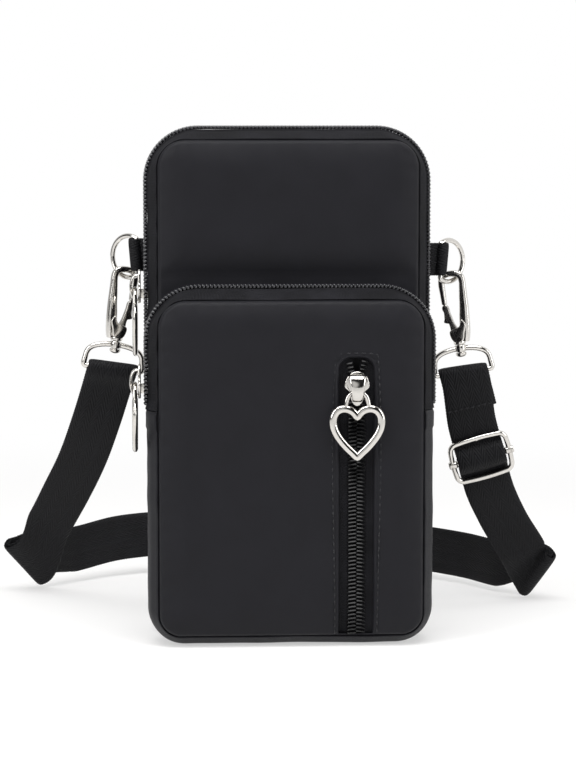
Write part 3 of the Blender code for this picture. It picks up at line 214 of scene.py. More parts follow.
class Draft:
    """Closed grids of quads that become one mesh."""

    def __init__(self, name: str) -> None:
        """Start an empty piece.

        Args:
            name: The piece's name.
        """
        self.name = name
        self.points: list[Array] = []
        self.faces: list[Array] = []
        self.uvs: list[Array] = []
        self.count = 0

    def add(self, grid: Array, closed: bool = False, uv: Array | None = None) -> Draft:
        """Add grids whose columns go round a section and whose rows follow each other.

        Args:
            grid: Points as (rows, columns, 3), or (copies, rows, columns, 3).
            closed: Whether the last row joins the first; otherwise both ends get caps.
            uv: Pattern coordinates in millimetres, (rows, columns, 2).

        Returns:
            This draft.
        """
        if grid.ndim == 3:
            grid = grid[None]
        copies, rows, columns, _ = grid.shape
        index = np.arange(rows * columns).reshape(rows, columns)
        after = np.roll(index, -1, axis=1)
        low, low_after = (index, after) if closed else (index[:-1], after[:-1])
        high = np.roll(index, -1, axis=0) if closed else index[1:]
        high_after = np.roll(after, -1, axis=0) if closed else after[1:]
        faces = [np.stack((low, low_after, high_after, high), axis=-1).reshape(-1, 4)]
        if not closed:
            near = np.arange(columns // 2 - 1)
            far = columns - 1 - near
            faces.append(np.stack((far, far - 1, near + 1, near), axis=-1))
            faces.append(np.stack((near, near + 1, far - 1, far), axis=-1) + (rows - 1) * columns)
        quads = np.concatenate(faces)
        first = grid[0].reshape(-1, 3)
        first = first - first.mean(axis=0)
        a, b, c, d = (first[quads[:, corner]] for corner in range(4))
        volume = np.einsum("ij,ij->", a, np.cross(b, c)) + np.einsum("ij,ij->", a, np.cross(c, d))
        if volume < 0:
            quads = quads[:, ::-1]
        shift = self.count + np.arange(copies)[:, None, None] * (rows * columns)
        self.faces.append((quads + shift).reshape(-1, 4))
        return self.store(grid.reshape(-1, 3), uv)

    def store(self, points: Array, uv: Array | None = None) -> Draft:
        """Keep points whose faces were kept before.

        Args:
            points: Rows of points.
            uv: Their pattern coordinates.

        Returns:
            The draft itself.
        """
        self.points.append(points)
        self.uvs.append(np.zeros((len(points), 2)) if uv is None else np.resize(uv, (len(points), 2)))
        self.count += len(points)
        return self

    def finish(self) -> Piece:
        """Make the mesh object, smooth with sharp creases.

        Returns:
            The new object, at the origin.
        """
        points = np.concatenate(self.points) * MM
        faces = np.concatenate(self.faces)
        mesh = bpy.data.meshes.new(self.name)
        mesh.vertices.add(len(points))
        mesh.vertices.foreach_set("co", points.astype(np.float32).ravel())
        mesh.loops.add(faces.size)
        mesh.polygons.add(len(faces))
        mesh.polygons.foreach_set("loop_start", np.arange(0, faces.size, 4, dtype=np.int32))
        mesh.polygons.foreach_set("vertices", faces.astype(np.int32).ravel())
        mesh.update(calc_edges=True)
        mesh.validate()
        layer = mesh.uv_layers.new(name="pattern")
        uv = np.concatenate(self.uvs)[faces.ravel()] * MM
        layer.uv.foreach_set("vector", uv.astype(np.float32).ravel())
        mesh.shade_smooth()
        mesh.set_sharp_from_angle(angle=SHARP_ANGLE)
        return linked(self.name, mesh)


def tube(
    points: Array, normal: Array, radii: Array | float, sides: int = 20, closed: bool = False,
    flat: Array | float = 1.0, power: float = 1.0,
) -> Array:
    """Sweep a round or squared section along a curve that lies in a plane.

    Formula: each ring is the point plus radius times (cosine along the plane's side
    direction plus flat times sine along the plane's normal).

    Args:
        points: The middle line, in millimetres.
        normal: The plane's normal.
        radii: One radius, or one for each point.
        sides: Points round the section.
        closed: Whether the line is a loop.
        flat: Height of the section along the normal as a share of its width, one or for each point.
        power: One for round, less for squared off.

    Returns:
        A grid of points, (rows, columns, 3).
    """
    if closed:
        along = np.roll(points, -1, axis=0) - np.roll(points, 1, axis=0)
    else:
        along = np.gradient(points, axis=0)
    side = unit(np.cross(unit(along), normal))
    across, up = ring_shares(sides, power)
    radius, height = (
        np.broadcast_to(np.asarray(value, dtype=float), (len(points),))[:, None, None]
        for value in (radii, flat))
    return points[:, None] + radius * (
        across[:, None] * side[:, None] + height * up[:, None] * np.asarray(normal))


def lathe(place: Place, profile: Array, sides: int = 28) -> Array:
    """Turn a profile round the frame's z direction.

    Args:
        place: The frame, whose z direction is the axis.
        profile: Rows of (radius, height).
        sides: Points round the axis.

    Returns:
        A grid of points, (rows, columns, 3).
    """
    profile = np.asarray(profile, dtype=float)
    across, up = ring_shares(sides)
    return place.at(points_of(profile[:, :1] * across, profile[:, :1] * up, profile[:, 1:]))


def rounded_ends(radius: float, low: float, high: float, bevel: float) -> Array:
    """Return a turned profile of a short post with rounded rims.

    Args:
        radius: Its radius.
        low: Where it starts on its axis.
        high: Where it ends.
        bevel: Radius of both rims.

    Returns:
        Rows of (radius, place on the axis).
    """
    turn = np.linspace(0, pi / 2, 5)
    rise = points_of(radius - bevel + bevel * np.sin(turn), low + bevel - bevel * np.cos(turn))
    fall = points_of(rise[::-1, 0], high + low - rise[::-1, 1])
    return np.concatenate((rise[:1] * TO_AXIS, rise, fall, fall[-1:] * TO_AXIS))


def slab(outline: Array, low: float, high: float, bevel: float, place: Place) -> Array:
    """Give a flat outline a thickness with rounded rims.

    Formula: rings of the outline moved inwards along its own normals by bevel times
    (1 minus sine), at heights that follow the cosine, so both rims are quarter rounds.

    Args:
        outline: Closed outline as rows of (x, z) in the frame, an even number of them.
        low: Start of the thickness along the frame's y direction.
        high: End of the thickness along the frame's y direction.
        bevel: Radius of the rims.
        place: The frame.

    Returns:
        A grid of points, (rows, columns, 3).
    """
    along = np.roll(outline, -1, axis=0) - np.roll(outline, 1, axis=0)
    inward = unit(left_of(along))
    turned = np.einsum("ij,ij->", inward, outline.mean(axis=0) - outline)
    inward *= 1 if turned > 0 else -1
    turn = np.linspace(0, pi / 2, 5)
    inset = bevel * (1 - np.sin(turn))
    heights = low + bevel * (1 - np.cos(turn))
    insets = np.concatenate((inset, inset[::-1]))
    heights = np.concatenate((heights, (low + high - heights)[::-1]))
    flat = outline + inward * insets[:, None, None]
    return place.at(points_of(flat[..., 0], heights[:, None], flat[..., 1]))


def stitch_bars(
    middle: Array, radius: float, taper: float, side_way: Array | tuple, out: Array | tuple,
) -> Array:
    """Return stitches as short six-sided bars, thinner towards both ends and slightly flat.

    Formula: a ring about each point, its size the root of one minus a falling square.

    Args:
        middle: Middle lines, (stitches, points, 3).
        radius: Half the thread's width.
        taper: How far both ends are thinned, 0 to 1.
        side_way: Direction across the thread, for all or for each point.
        out: Direction out of the cloth.

    Returns:
        Grids, (stitches, points, 6, 3).
    """
    swell = np.sqrt(1 - np.linspace(-1, 1, middle.shape[1]) ** 2 * taper)[:, None, None]
    across, up = ring_shares(6)
    side_way = np.broadcast_to(side_way, middle.shape)[:, :, None]
    return middle[:, :, None] + radius * swell * (
        across[:, None] * side_way + STITCH_FLAT * up[:, None] * np.asarray(out))


def to_linear(text: str) -> tuple[float, float, float, float]:
    """Turn an sRGB hex colour into linear light.

    Args:
        text: Six hex digits.

    Returns:
        Red, green, blue and a full alpha.
    """
    levels = np.array([int(text[start:start + 2], 16) / 255 for start in (0, 2, 4)])
    linear = np.where(levels <= 0.04045, levels / 12.92, ((levels + 0.055) / 1.055) ** 2.4)
    return (*linear.tolist(), 1.0)


def add_node(
    tree: Tree, kind: str, sockets: dict[str | int, object] | None = None, **settings: object,
) -> Node:
    """Add a node with its settings, values and links.

    Args:
        tree: The material's or world's node tree.
        kind: The node's type without the ShaderNode prefix.
        sockets: Inputs by name or number: a number, a colour, another node's output, or
            another node, which stands for its first output.
        **settings: Attributes of the node.

    Returns:
        The new node.
    """
    node = tree.nodes.new("ShaderNode" + kind)
    for key, value in settings.items():
        setattr(node, key, value)
    for key, value in (sockets or {}).items():
        if isinstance(value, Node):
            value = value.outputs[0]
        if isinstance(value, bpy.types.NodeSocket):
            tree.links.new(value, node.inputs[key])
        else:
            node.inputs[key].default_value = value
    return node


class Weave(Enum):
    """Ways in which the thread runs in a cloth, webbing or coating."""

    PLAIN = "plain"
    TAPE = "tape"
    HERRINGBONE = "herringbone"
    METAL = "metal"


@dataclass(frozen=True)
class Finish:
    """One real material: what it is made of and how its surface was made."""

    name: str
    slot: str
    colour: str
    worn_colour: str
    roughness: float
    roughness_spread: float
    weave: Weave
    pitch: float
    relief: float
    metallic: float = 0.0
    sheen: float = 0.0
    gloss: float = 0.2

    def pattern(self, tree: Tree) -> Node:
        """Return the height of the thread pattern, about 0 to 1.

        Args:
            tree: The material's node tree.

        Returns:
            The node whose first output carries the height.
        """
        where = add_node(tree, "TexCoord")
        if self.weave in (Weave.TAPE, Weave.HERRINGBONE):
            return self.chevrons(tree, add_node(tree, "SeparateXYZ", {0: where.outputs["UV"]}))
        if self.weave is Weave.METAL:
            return add_node(tree, "TexNoise", {
                "Vector": where.outputs["Object"], "Scale": MM_PER_METRE / self.pitch, "Detail": 6.0,
                "Roughness": 0.6})
        split = add_node(tree, "SeparateXYZ", {0: where.outputs["Object"]})
        flat = add_node(tree, "Math", {0: split.outputs["X"], 1: split.outputs["Y"]}, operation="ADD")
        warp = self.wave(tree, flat, self.pitch, "SINE")
        weft = self.wave(tree, split.outputs["Z"], self.pitch, "COSINE")
        return add_node(tree, "Math", {0: warp, 1: weft, 2: 0.5}, operation="MULTIPLY_ADD")

    def wave(self, tree: Tree, place: object, length: float, shape: str) -> Node:
        """Return a sine or cosine of a coordinate, whose wave is so many millimetres long."""
        angle = add_node(tree, "Math", {
            0: place, 1: 2 * pi * MM_PER_METRE / length}, operation="MULTIPLY")
        return add_node(tree, "Math", {0: angle}, operation=shape)

    def chevrons(self, tree: Tree, split: Node) -> Node:
        """Return slanted stripes that turn back at every column, as herringbone and tape have.

        Args:
            tree: The material's node tree.
            split: The node that gives the coordinates across and along the band.

        Returns:
            The node whose first output carries the height.
        """
        steep = self.weave is Weave.HERRINGBONE
        column = self.pitch * (2.6 if steep else 0.8)
        across = split.outputs["X"]
        slant = add_node(tree, "Math", {0: across, 1: column * MM}, operation="PINGPONG")
        rise = add_node(tree, "Math", {
            0: split.outputs["Y"], 1: 0.35 if steep else 1.0}, operation="MULTIPLY")
        lean = add_node(tree, "Math", {0: slant, 1: 0.9, 2: rise}, operation="MULTIPLY_ADD")
        thread = self.wave(tree, lean, self.pitch, "SINE")
        ridge = add_node(tree, "Math", {
            0: self.wave(tree, across, 2 * column, "COSINE")}, operation="ABSOLUTE")
        soft = add_node(tree, "Math", {0: thread, 1: 0.3, 2: 0.4}, operation="MULTIPLY_ADD")
        return add_node(tree, "Math", {0: ridge, 1: -0.25, 2: soft}, operation="MULTIPLY_ADD")

    def make(self) -> bpy.types.Material:
        """Build the node material.

        Returns:
            The material, whose thread pattern drives bump, colour and roughness.
        """
        material = bpy.data.materials.new(self.name)
        material.use_nodes = True
        tree = material.node_tree
        shader = tree.nodes["Principled BSDF"]
        where = add_node(tree, "TexCoord")
        cloud = add_node(tree, "TexNoise", {
            "Vector": where.outputs["Object"], "Scale": MM_PER_METRE / PATCH_SIZE, "Detail": 5.0,
            "Roughness": 0.62})
        height = self.pattern(tree)
        shade = add_node(tree, "Math", {0: height, 1: 0.45, 2: cloud}, operation="MULTIPLY_ADD")
        share = add_node(tree, "MapRange", {"Value": shade, "From Min": 0.45, "From Max": 1.05})
        colour = add_node(tree, "Mix", {
            "Factor": share, 6: to_linear(self.colour), 7: to_linear(self.worn_colour)}, data_type="RGBA")
        rough = add_node(tree, "MapRange", {
            "Value": cloud, "From Min": 0.3, "From Max": 0.7,
            "To Min": self.roughness - self.roughness_spread,
            "To Max": self.roughness + self.roughness_spread})
        bump = add_node(tree, "Bump", {
            "Height": height, "Strength": 1.0, "Distance": self.relief * MM})
        tree.links.new(colour.outputs[2], shader.inputs["Base Color"])
        tree.links.new(rough.outputs["Result"], shader.inputs["Roughness"])
        tree.links.new(bump.outputs["Normal"], shader.inputs["Normal"])
        for socket, value in (
            ("Metallic", self.metallic), ("Specular IOR Level", self.gloss), ("Sheen Weight", self.sheen),
            ("Sheen Roughness", 0.45),
        ):
            shader.inputs[socket].default_value = value
        return material


# Woven nylon with a polyurethane coating on its back: smooth, with a soft dull glow
NYLON = Finish("woven_nylon", "nylon", "18181b", "1c1c20", 0.42, 0.04, Weave.PLAIN, 0.5, 0.02, gloss=0.12)
# Woven polyester zip tape: dry, with short slanted ribs, drawn twice as coarse as real
TAPE = Finish(
    "zip_tape_polyester", "zip_tape", "131315", "242428", 0.8, 0.05, Weave.TAPE, 1.0, 0.12, gloss=0.1)
# Moulded polyester monofilament coil: glossy, with small bright glints on each turn; its colour is painted
# lighter than the coil's own black, a painted highlight that lifts the glints
COIL = Finish("polyester_coil", "zip_coil", "222225", "343438", 0.2, 0.05, Weave.METAL, 3.0, 0.02, gloss=0.6)
# The same coil where it lies deep between the slot's lips: less of the room reaches it, so its colour and
# gloss are painted darker, a painted shade
SHADED_SLOT_COIL = Finish("slot_coil", "zip_coil", "050506", "09090a", 0.26, 0.05, Weave.METAL, 3.0, 0.02, gloss=0.2)
# Polypropylene herringbone webbing: thick threads that catch the light in chevrons
WEBBING = Finish(
    "herringbone_webbing", "webbing", "0f0f11", "1c1c1f", 0.6, 0.06, Weave.HERRINGBONE, 0.9, 0.2, gloss=0.14)
# Bonded polyester sewing thread: satin, slightly lighter than the cloth it sinks into
THREAD = Finish("bonded_thread", "nylon", "0e0e10", "232327", 0.42, 0.06, Weave.METAL, 1.2, 0.03, sheen=0.2)
# Thin plain-woven polyester lining: satin, seen only where a zip stands open
LINING = Finish("polyester_lining", "lining", "101013", "1c1c20", 0.45, 0.08, Weave.PLAIN, 0.7, 0.04)
# Die-cast zinc with polished nickel plating: warm grey mirror with faint hairlines and handling haze
NICKEL = Finish(
    "nickel_plating", "hardware", "c9c6c1", "dedbd6", 0.13, 0.05, Weave.METAL, 1.4, 0.01, metallic=1.0,
    gloss=0.5)
# The same plating on the small moving parts, duller and darker
GATE_NICKEL = Finish(
    "darker_nickel", "hardware", "b0ada8", "cbc8c3", 0.22, 0.06, Weave.METAL, 1.1, 0.015, metallic=1.0,
    gloss=0.5)


class Finishes:
    """Makes each finish once and puts it on pieces."""

    def __init__(self) -> None:
        """Start with nothing made."""
        self.made: dict[str, bpy.types.Material] = {}

    def dress(self, obj: Piece, finish: Finish, body: str, *nodes: str) -> Piece:
        """Give a piece its finish, the body that it rides on and the nodes it stands for.

        Args:
            obj: The piece.
            finish: Its finish.
            body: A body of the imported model.
            *nodes: CAD nodes that the piece replaces.

        Returns:
            The piece.
        """
        if finish.name not in self.made:
            self.made[finish.name] = finish.make()
        obj.data.materials.clear()
        obj.data.materials.append(self.made[finish.name])
        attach(obj, body)
        if nodes:
            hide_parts(*nodes)
        log.info("%s rides on %s", obj.name, body)
        return obj


@dataclass
class BagSizes:
    """Sizes of the bag's body, repeated from the part's own."""

    seam_half: float = 47.75
    bulge: float = 4.2
    main_height: float = 187.0
    front_height: float = 130.0
    main_depth: float = 20.0
    front_depth: float = 19.4
    wall: float = 1.5
    gap: float = 0.3
    top_radius: float = 10.0
    bottom_radius: float = 8.0
    crest_top_radius: float = 19.0
    crest_bottom_radius: float = 14.0
    zip_end: float = 86.0
    slit: float = 1.2
    coil_width: float = 2.7
    coil_height: float = 1.5
    coil_pitch: float = 1.4
    coil_half: float = 0.5
    coil_cross: float = 0.3
    coil_clear: float = 0.05
    slot_centre: float = 23.2
    slot_half: float = 6.2
    slot_low: float = 4.9
    slot_high: float = 105.4
    main_slider_z: float = 129.0
    front_slider_z: float = 96.0
    slot_slider_z: float = 94.4
    crown_width: float = 12.0
    front_crown: float = 2.6
    upper_crown: float = 2.2
    rear_crown: float = 2.0

    @property
    def front_rear_y(self) -> float:
        """Rear seam plane of the front compartment."""
        return -self.main_depth / 2 - self.gap * 2 - self.wall

    @property
    def front_front_y(self) -> float:
        """Front seam plane of the front compartment."""
        return self.front_rear_y - self.front_depth

    @property
    def front_rim_y(self) -> float:
        """Inner plane of the front panel's rim."""
        return self.front_front_y - self.gap

    @property
    def front_middle_y(self) -> float:
        """Middle plane of the front compartment."""
        return (self.front_rear_y + self.front_front_y) / 2

    def crown_share(self, inwards: Array | float) -> Array:
        """Return how far a crown has risen, one minus a falling square."""
        return 1 - (1 - np.clip(np.asarray(inwards) / self.crown_width, 0, 1)) ** 2

    def slot_sheet_y(self, z: Array | float) -> Array:
        """Return the front panel's inner face on the slot's line."""
        return self.front_rim_y - self.front_crown * self.crown_share(np.asarray(z) - self.bulge)


SIZES = BagSizes()


def rounded_distance(
    x: Array, z: Array, half: float, low: float, high: float, radii: tuple[float, float],
) -> Array:
    """Return the distance inwards from the rim of a rounded rectangle, negative outside.

    Formula: the corner's radius minus the length of what lies beyond its middle,
    minus the larger of the two signed distances where the point is away from corners.

    Args:
        x: Coordinates from the middle.
        z: Heights.
        half: Half the width.
        low: Lower edge.
        high: Upper edge.
        radii: Lower and upper corner radius.

    Returns:
        Distances of the same shape as the coordinates.
    """
    middle = (low + high) / 2
    radius = np.where(z > middle, radii[1], radii[0])
    beyond_x = np.abs(x) - (half - radius)
    beyond_z = np.abs(z - middle) - ((high - low) / 2 - radius)
    corner = np.hypot(np.maximum(beyond_x, 0), np.maximum(beyond_z, 0))
    return radius - corner - np.minimum(np.maximum(beyond_x, beyond_z), 0)


def rounded_half(z: Array, half: float, ends: tuple[tuple[Array, float], ...]) -> Array:
    """Return half a width at each height, narrowed by quarter rounds at its ends.

    Args:
        z: Heights.
        half: Half the full width.
        ends: For each end, the distance inwards from it and its corner radius.

    Returns:
        Half widths of the same shape as the heights.
    """
    result = np.full_like(z, half)
    for from_end, radius in ends:
        inside = np.clip(radius - from_end, 0, radius)
        result = result - radius + np.sqrt(radius ** 2 - inside ** 2)
    return result


class Ends(Enum):
    """The ends at which a row of numbers crowds."""

    BOTH = "both"
    START = "start"
    END = "end"


def crowded(start: float, end: float, count: int, ends: Ends = Ends.BOTH) -> Array:
    """Return numbers from start to end that crowd at one or both ends by a cosine rule.

    Args:
        start: First number.
        end: Last number.
        count: Number of steps.
        ends: Where they crowd.

    Returns:
        The numbers, count + 1 of them.
    """
    turn = pi / 2 * np.linspace(0, 1, count + 1)
    rules = {
        Ends.BOTH: (1 - np.cos(2 * turn)) / 2, Ends.START: 1 - np.cos(turn), Ends.END: np.sin(turn)}
    return start + (end - start) * rules[ends]


def eased(share: Array) -> Array:
    """Return a share that starts and ends gently, three of its squares less two of its cubes."""
    share = np.clip(share, 0, 1)
    return share ** 2 * (3 - 2 * share)


def rolled(inwards: Array, radius: float) -> Array:
    """Return the quarter round of a turned edge, 0 at the rim and 1 a radius inwards."""
    share = 1 - np.clip(inwards / radius, 0, 1)
    return np.sqrt(np.clip(1 - share ** 2, 0, 1))


def soft_waves(x: Array, z: Array, seed: int, longest: float, shortest: float) -> Array:
    """Return gentle unevenness of cloth, a seeded sum of slanted sines.

    Args:
        x: Places across.
        z: Heights.
        seed: Seed of the waves.
        longest: Length of the longest wave.
        shortest: Length of the shortest.

    Returns:
        Heights, about -1 to 1.
    """
    draw = np.random.default_rng(seed)
    total = np.zeros_like(x)
    terms = 9
    for _ in range(terms):
        turn = draw.uniform(0, 2 * pi)
        length = draw.uniform(shortest, longest)
        phase = draw.uniform(0, 2 * pi)
        total = total + np.sin(2 * pi * (x * cos(turn) + z * sin(turn)) / length + phase)
    return total / terms ** 0.5


@dataclass
class Compartment:
    """One zipped compartment: gusset, two zip tapes and the coil between them."""

    name: str
    height: float
    middle_y: float
    depth: float
    slider_z: float
    wall: float = 1.0
    side_points: int = 60
    arc_points: int = 22
    flat_points: int = 60
    end_clear: float = 2.2
    hem_rise: float = 0.4
    hem_height: float = 6.0
    join_gap: float = 0.15
    slider_reach: float = 6.5
    edge_rise: float = 0.95
    bed_rise: float = 0.5
    bed_half: float = 3.5
    sink: float = 0.8
    tape_wall: float = 0.5

    def arch(self, half: float, low: float, top: float, radius: float) -> Array:
        """Walk up the left side, over the top and down the right side.

        Args:
            half: Half the width.
            low: Height where both sides start.
            top: Height of the top run.
            radius: Corner radius.

        Returns:
            Rows of (x, z).
        """
        side = points_of(-half, np.linspace(low, top - radius, self.side_points, endpoint=False))
        turn = np.linspace(0, pi / 2, self.arc_points, endpoint=False)
        rise = np.concatenate((side, left_corner(turn, half, top, radius)))
        flat = points_of(np.linspace(-half + radius, half - radius, self.flat_points), top)
        return np.concatenate((rise, flat, rise[::-1] * (-1, 1)))

    def edge(self, crest: bool, upper: bool, inset: float = 0.0) -> Array:
        """Return the seam's or the crest's outline.

        Args:
            crest: Whether it is the crest's.
            upper: Whether it is the zip's part or the gusset's.
            inset: How far it is moved in.

        Returns:
            Rows of (x, z).
        """
        half = SIZES.seam_half + (SIZES.bulge if crest else 0) - inset
        if upper:
            radius = SIZES.crest_top_radius if crest else SIZES.top_radius
            top = self.height - (0 if crest else SIZES.bulge) - inset
            return self.arch(half, SIZES.zip_end + self.join_gap, top, radius - inset)
        radius = SIZES.crest_bottom_radius if crest else SIZES.bottom_radius
        low = (0 if crest else SIZES.bulge) + inset
        return self.arch(half, self.join_gap - SIZES.zip_end, -low, radius - inset) * (1, -1)

    def lift(self, across: Array) -> Array:
        """Return how far the band rises from seam to crest, a flattened arch."""
        return np.clip(1 - np.abs(across) ** 3.0, 0, 1) ** 0.8

    def band(self, outer: Array, upper: bool, relief: Callable[[Array, Array], Array]) -> tuple[Array, Array]:
        """Sweep the band's curved section along the outline.

        Formula: each point lies between seam and crest by the lift at its place across,
        and the inner face is the same, moved in by the wall.

        Args:
            outer: Places across from -1 to 1, in order.
            upper: Whether this is the zip's part or the gusset's.
            relief: Outward unevenness from place along and height.

        Returns:
            The grid, and its pattern coordinates across and along.
        """
        across = np.concatenate((outer, outer[::-1]))
        near_coil = np.clip((self.bed_half + 0.5 - np.abs(outer) * self.depth / 2) / 0.5, 0, 1)
        bed = -self.bed_rise * near_coil if upper else 0 * outer
        inset = np.concatenate((bed, np.full(len(outer), self.tape_wall if upper else self.wall)))
        front = np.concatenate((np.ones(len(outer)), np.zeros(len(outer))))
        seam, crest = self.edge(False, upper), self.edge(True, upper)
        inward = self.edge(False, upper, 1.0) - seam
        along = line_reach(crest)
        bump = relief(along, crest[:, 1])[:, None] * front
        if upper:
            bump = bump - self.sink * np.clip(line_end(along) / 3.0, 0, 1)[:, None] * self.lift(across)
        lift = self.lift(across)[None, :, None]
        flat = seam[:, None] * (1 - lift) + crest[:, None] * lift
        flat = flat + inward[:, None] * (inset - bump)[..., None]
        risen = self.lift(across) * SIZES.bulge
        edge = self.edge_rise * np.sqrt(np.clip(risen / 0.5, 0, 1)) * np.clip((3.0 - risen) / 2.2, 0, 1) ** 2
        y = self.middle_y + across * self.depth / 2 + np.sign(across) * edge * front
        walked = line_reach(points_of(outer * self.depth / 2, self.lift(outer) * SIZES.bulge))
        uv = points_of(np.concatenate((walked, walked[::-1])), along[:, None])
        return points_of(flat[..., 0], y, flat[..., 1]), uv

    def build(self) -> dict[str, Piece]:
        """Make the gusset, the tapes and the coil rows.

        Returns:
            Objects by the name of the node that each replaces.
        """
        made = {}

        def hem(along: Array, z: Array) -> Array:
            """Rise over the zip's end, with slight waves lower down."""
            from_end = SIZES.zip_end - self.join_gap - z
            folded = self.hem_rise * rolled(np.clip(from_end, 0, None), 0.6) * (from_end < self.hem_height)
            return folded + 0.1 * soft_waves(along, z, 5, 40, 14)

        def ripple(along: Array, z: Array) -> Array:
            """Let the tape wander a little between its stitches."""
            return 0.12 * soft_waves(along, z, 11, 30, 9)

        grid, uv = self.band(crowded(-1, 1, 40), False, hem)
        made[f"{self.name}_gusset"] = Draft(f"{self.name}_gusset_cloth").add(grid, uv=uv).finish()
        slit = SIZES.slit / self.depth
        for side, word in ((-1, "front"), (1, "rear")):
            grid, uv = self.band(side * crowded(slit, 1, 26, Ends.END), True, ripple)
            draft = Draft(f"{self.name}_tape_{word}").add(grid, uv=uv)
            made[f"{self.name}_zip_tape_{word}"] = draft.finish()
            made[f"{self.name}_zip_coil_{word}"] = self.coil(side, word)
        return made

    def coil(self, side: int, word: str) -> Piece:
        """Set one row of coil turns along the crest, with heads that meet where the zip is shut.

        Args:
            side: -1 for the row nearer the viewer, 1 for the other.
            word: That row's name.

        Returns:
            The row of teeth.
        """
        crest = self.edge(True, True)
        places = turn_places(self.end_clear, line_reach(crest)[-1] - self.end_clear, side)
        where = spots_on(crest, places)
        along = unit(spots_on(crest, places + 0.5) - where)
        apart = (where[:, 0] < 0) & (where[:, 1] < self.slider_z + self.slider_reach)
        local = coil_turns(~apart)
        rise = local[..., 2:] + SIZES.gap - self.sink + SIZES.coil_height / 2
        flat = (
            where[:, None, None] + along[:, None, None] * local[..., :1]
            + left_of(along)[:, None, None] * rise)
        grid = points_of(flat[..., 0], self.middle_y + side * local[..., 1], flat[..., 1])
        return Draft(f"{self.name}_coil_{word}").add(grid).finish()


def line_end(along: Array) -> Array:
    """Return the distance to the nearer end of a walk."""
    return np.minimum(along, along[-1] - along)


def turn_places(first: float, last: float, side: int) -> Array:
    """Return where a row's coil turns lie; the far row's fall between the near row's."""
    return np.arange(first, last, SIZES.coil_pitch) + (SIZES.coil_pitch / 2 if side > 0 else 0)


def coil_turns(shut: Array) -> Array:
    """Return the turns of a coil as bars that swell at the head and round over at both ends.

    Formula: six-sided rings whose size follows a fixed profile from head to root.

    Args:
        shut: For each turn, whether its head crosses the zip's middle or stops short of it.

    Returns:
        Grids as (turns, rows, sides, 3): along, across and up.
    """
    shares = np.array((0.0, 0.04, 0.14, 0.32, 0.62, 0.88, 0.97, 1.0))
    swell = np.array((0.35, 0.8, 1.12, 1.0, 0.9, 0.95, 0.75, 0.3))[:, None]
    head = np.where(shut, -SIZES.coil_cross, SIZES.slit / 2 + SIZES.coil_clear)[:, None]
    middle = head + (SIZES.slit / 2 + SIZES.coil_width - head) * shares
    across, up = ring_shares(6)
    lean = 0.45 * shares[:, None] ** 2
    bend = 0.22 * np.sin(pi * shares)[:, None]
    return points_of(
        SIZES.coil_half * swell * across - lean, middle[..., None],
        SIZES.coil_height / 2 * (swell * up + bend))


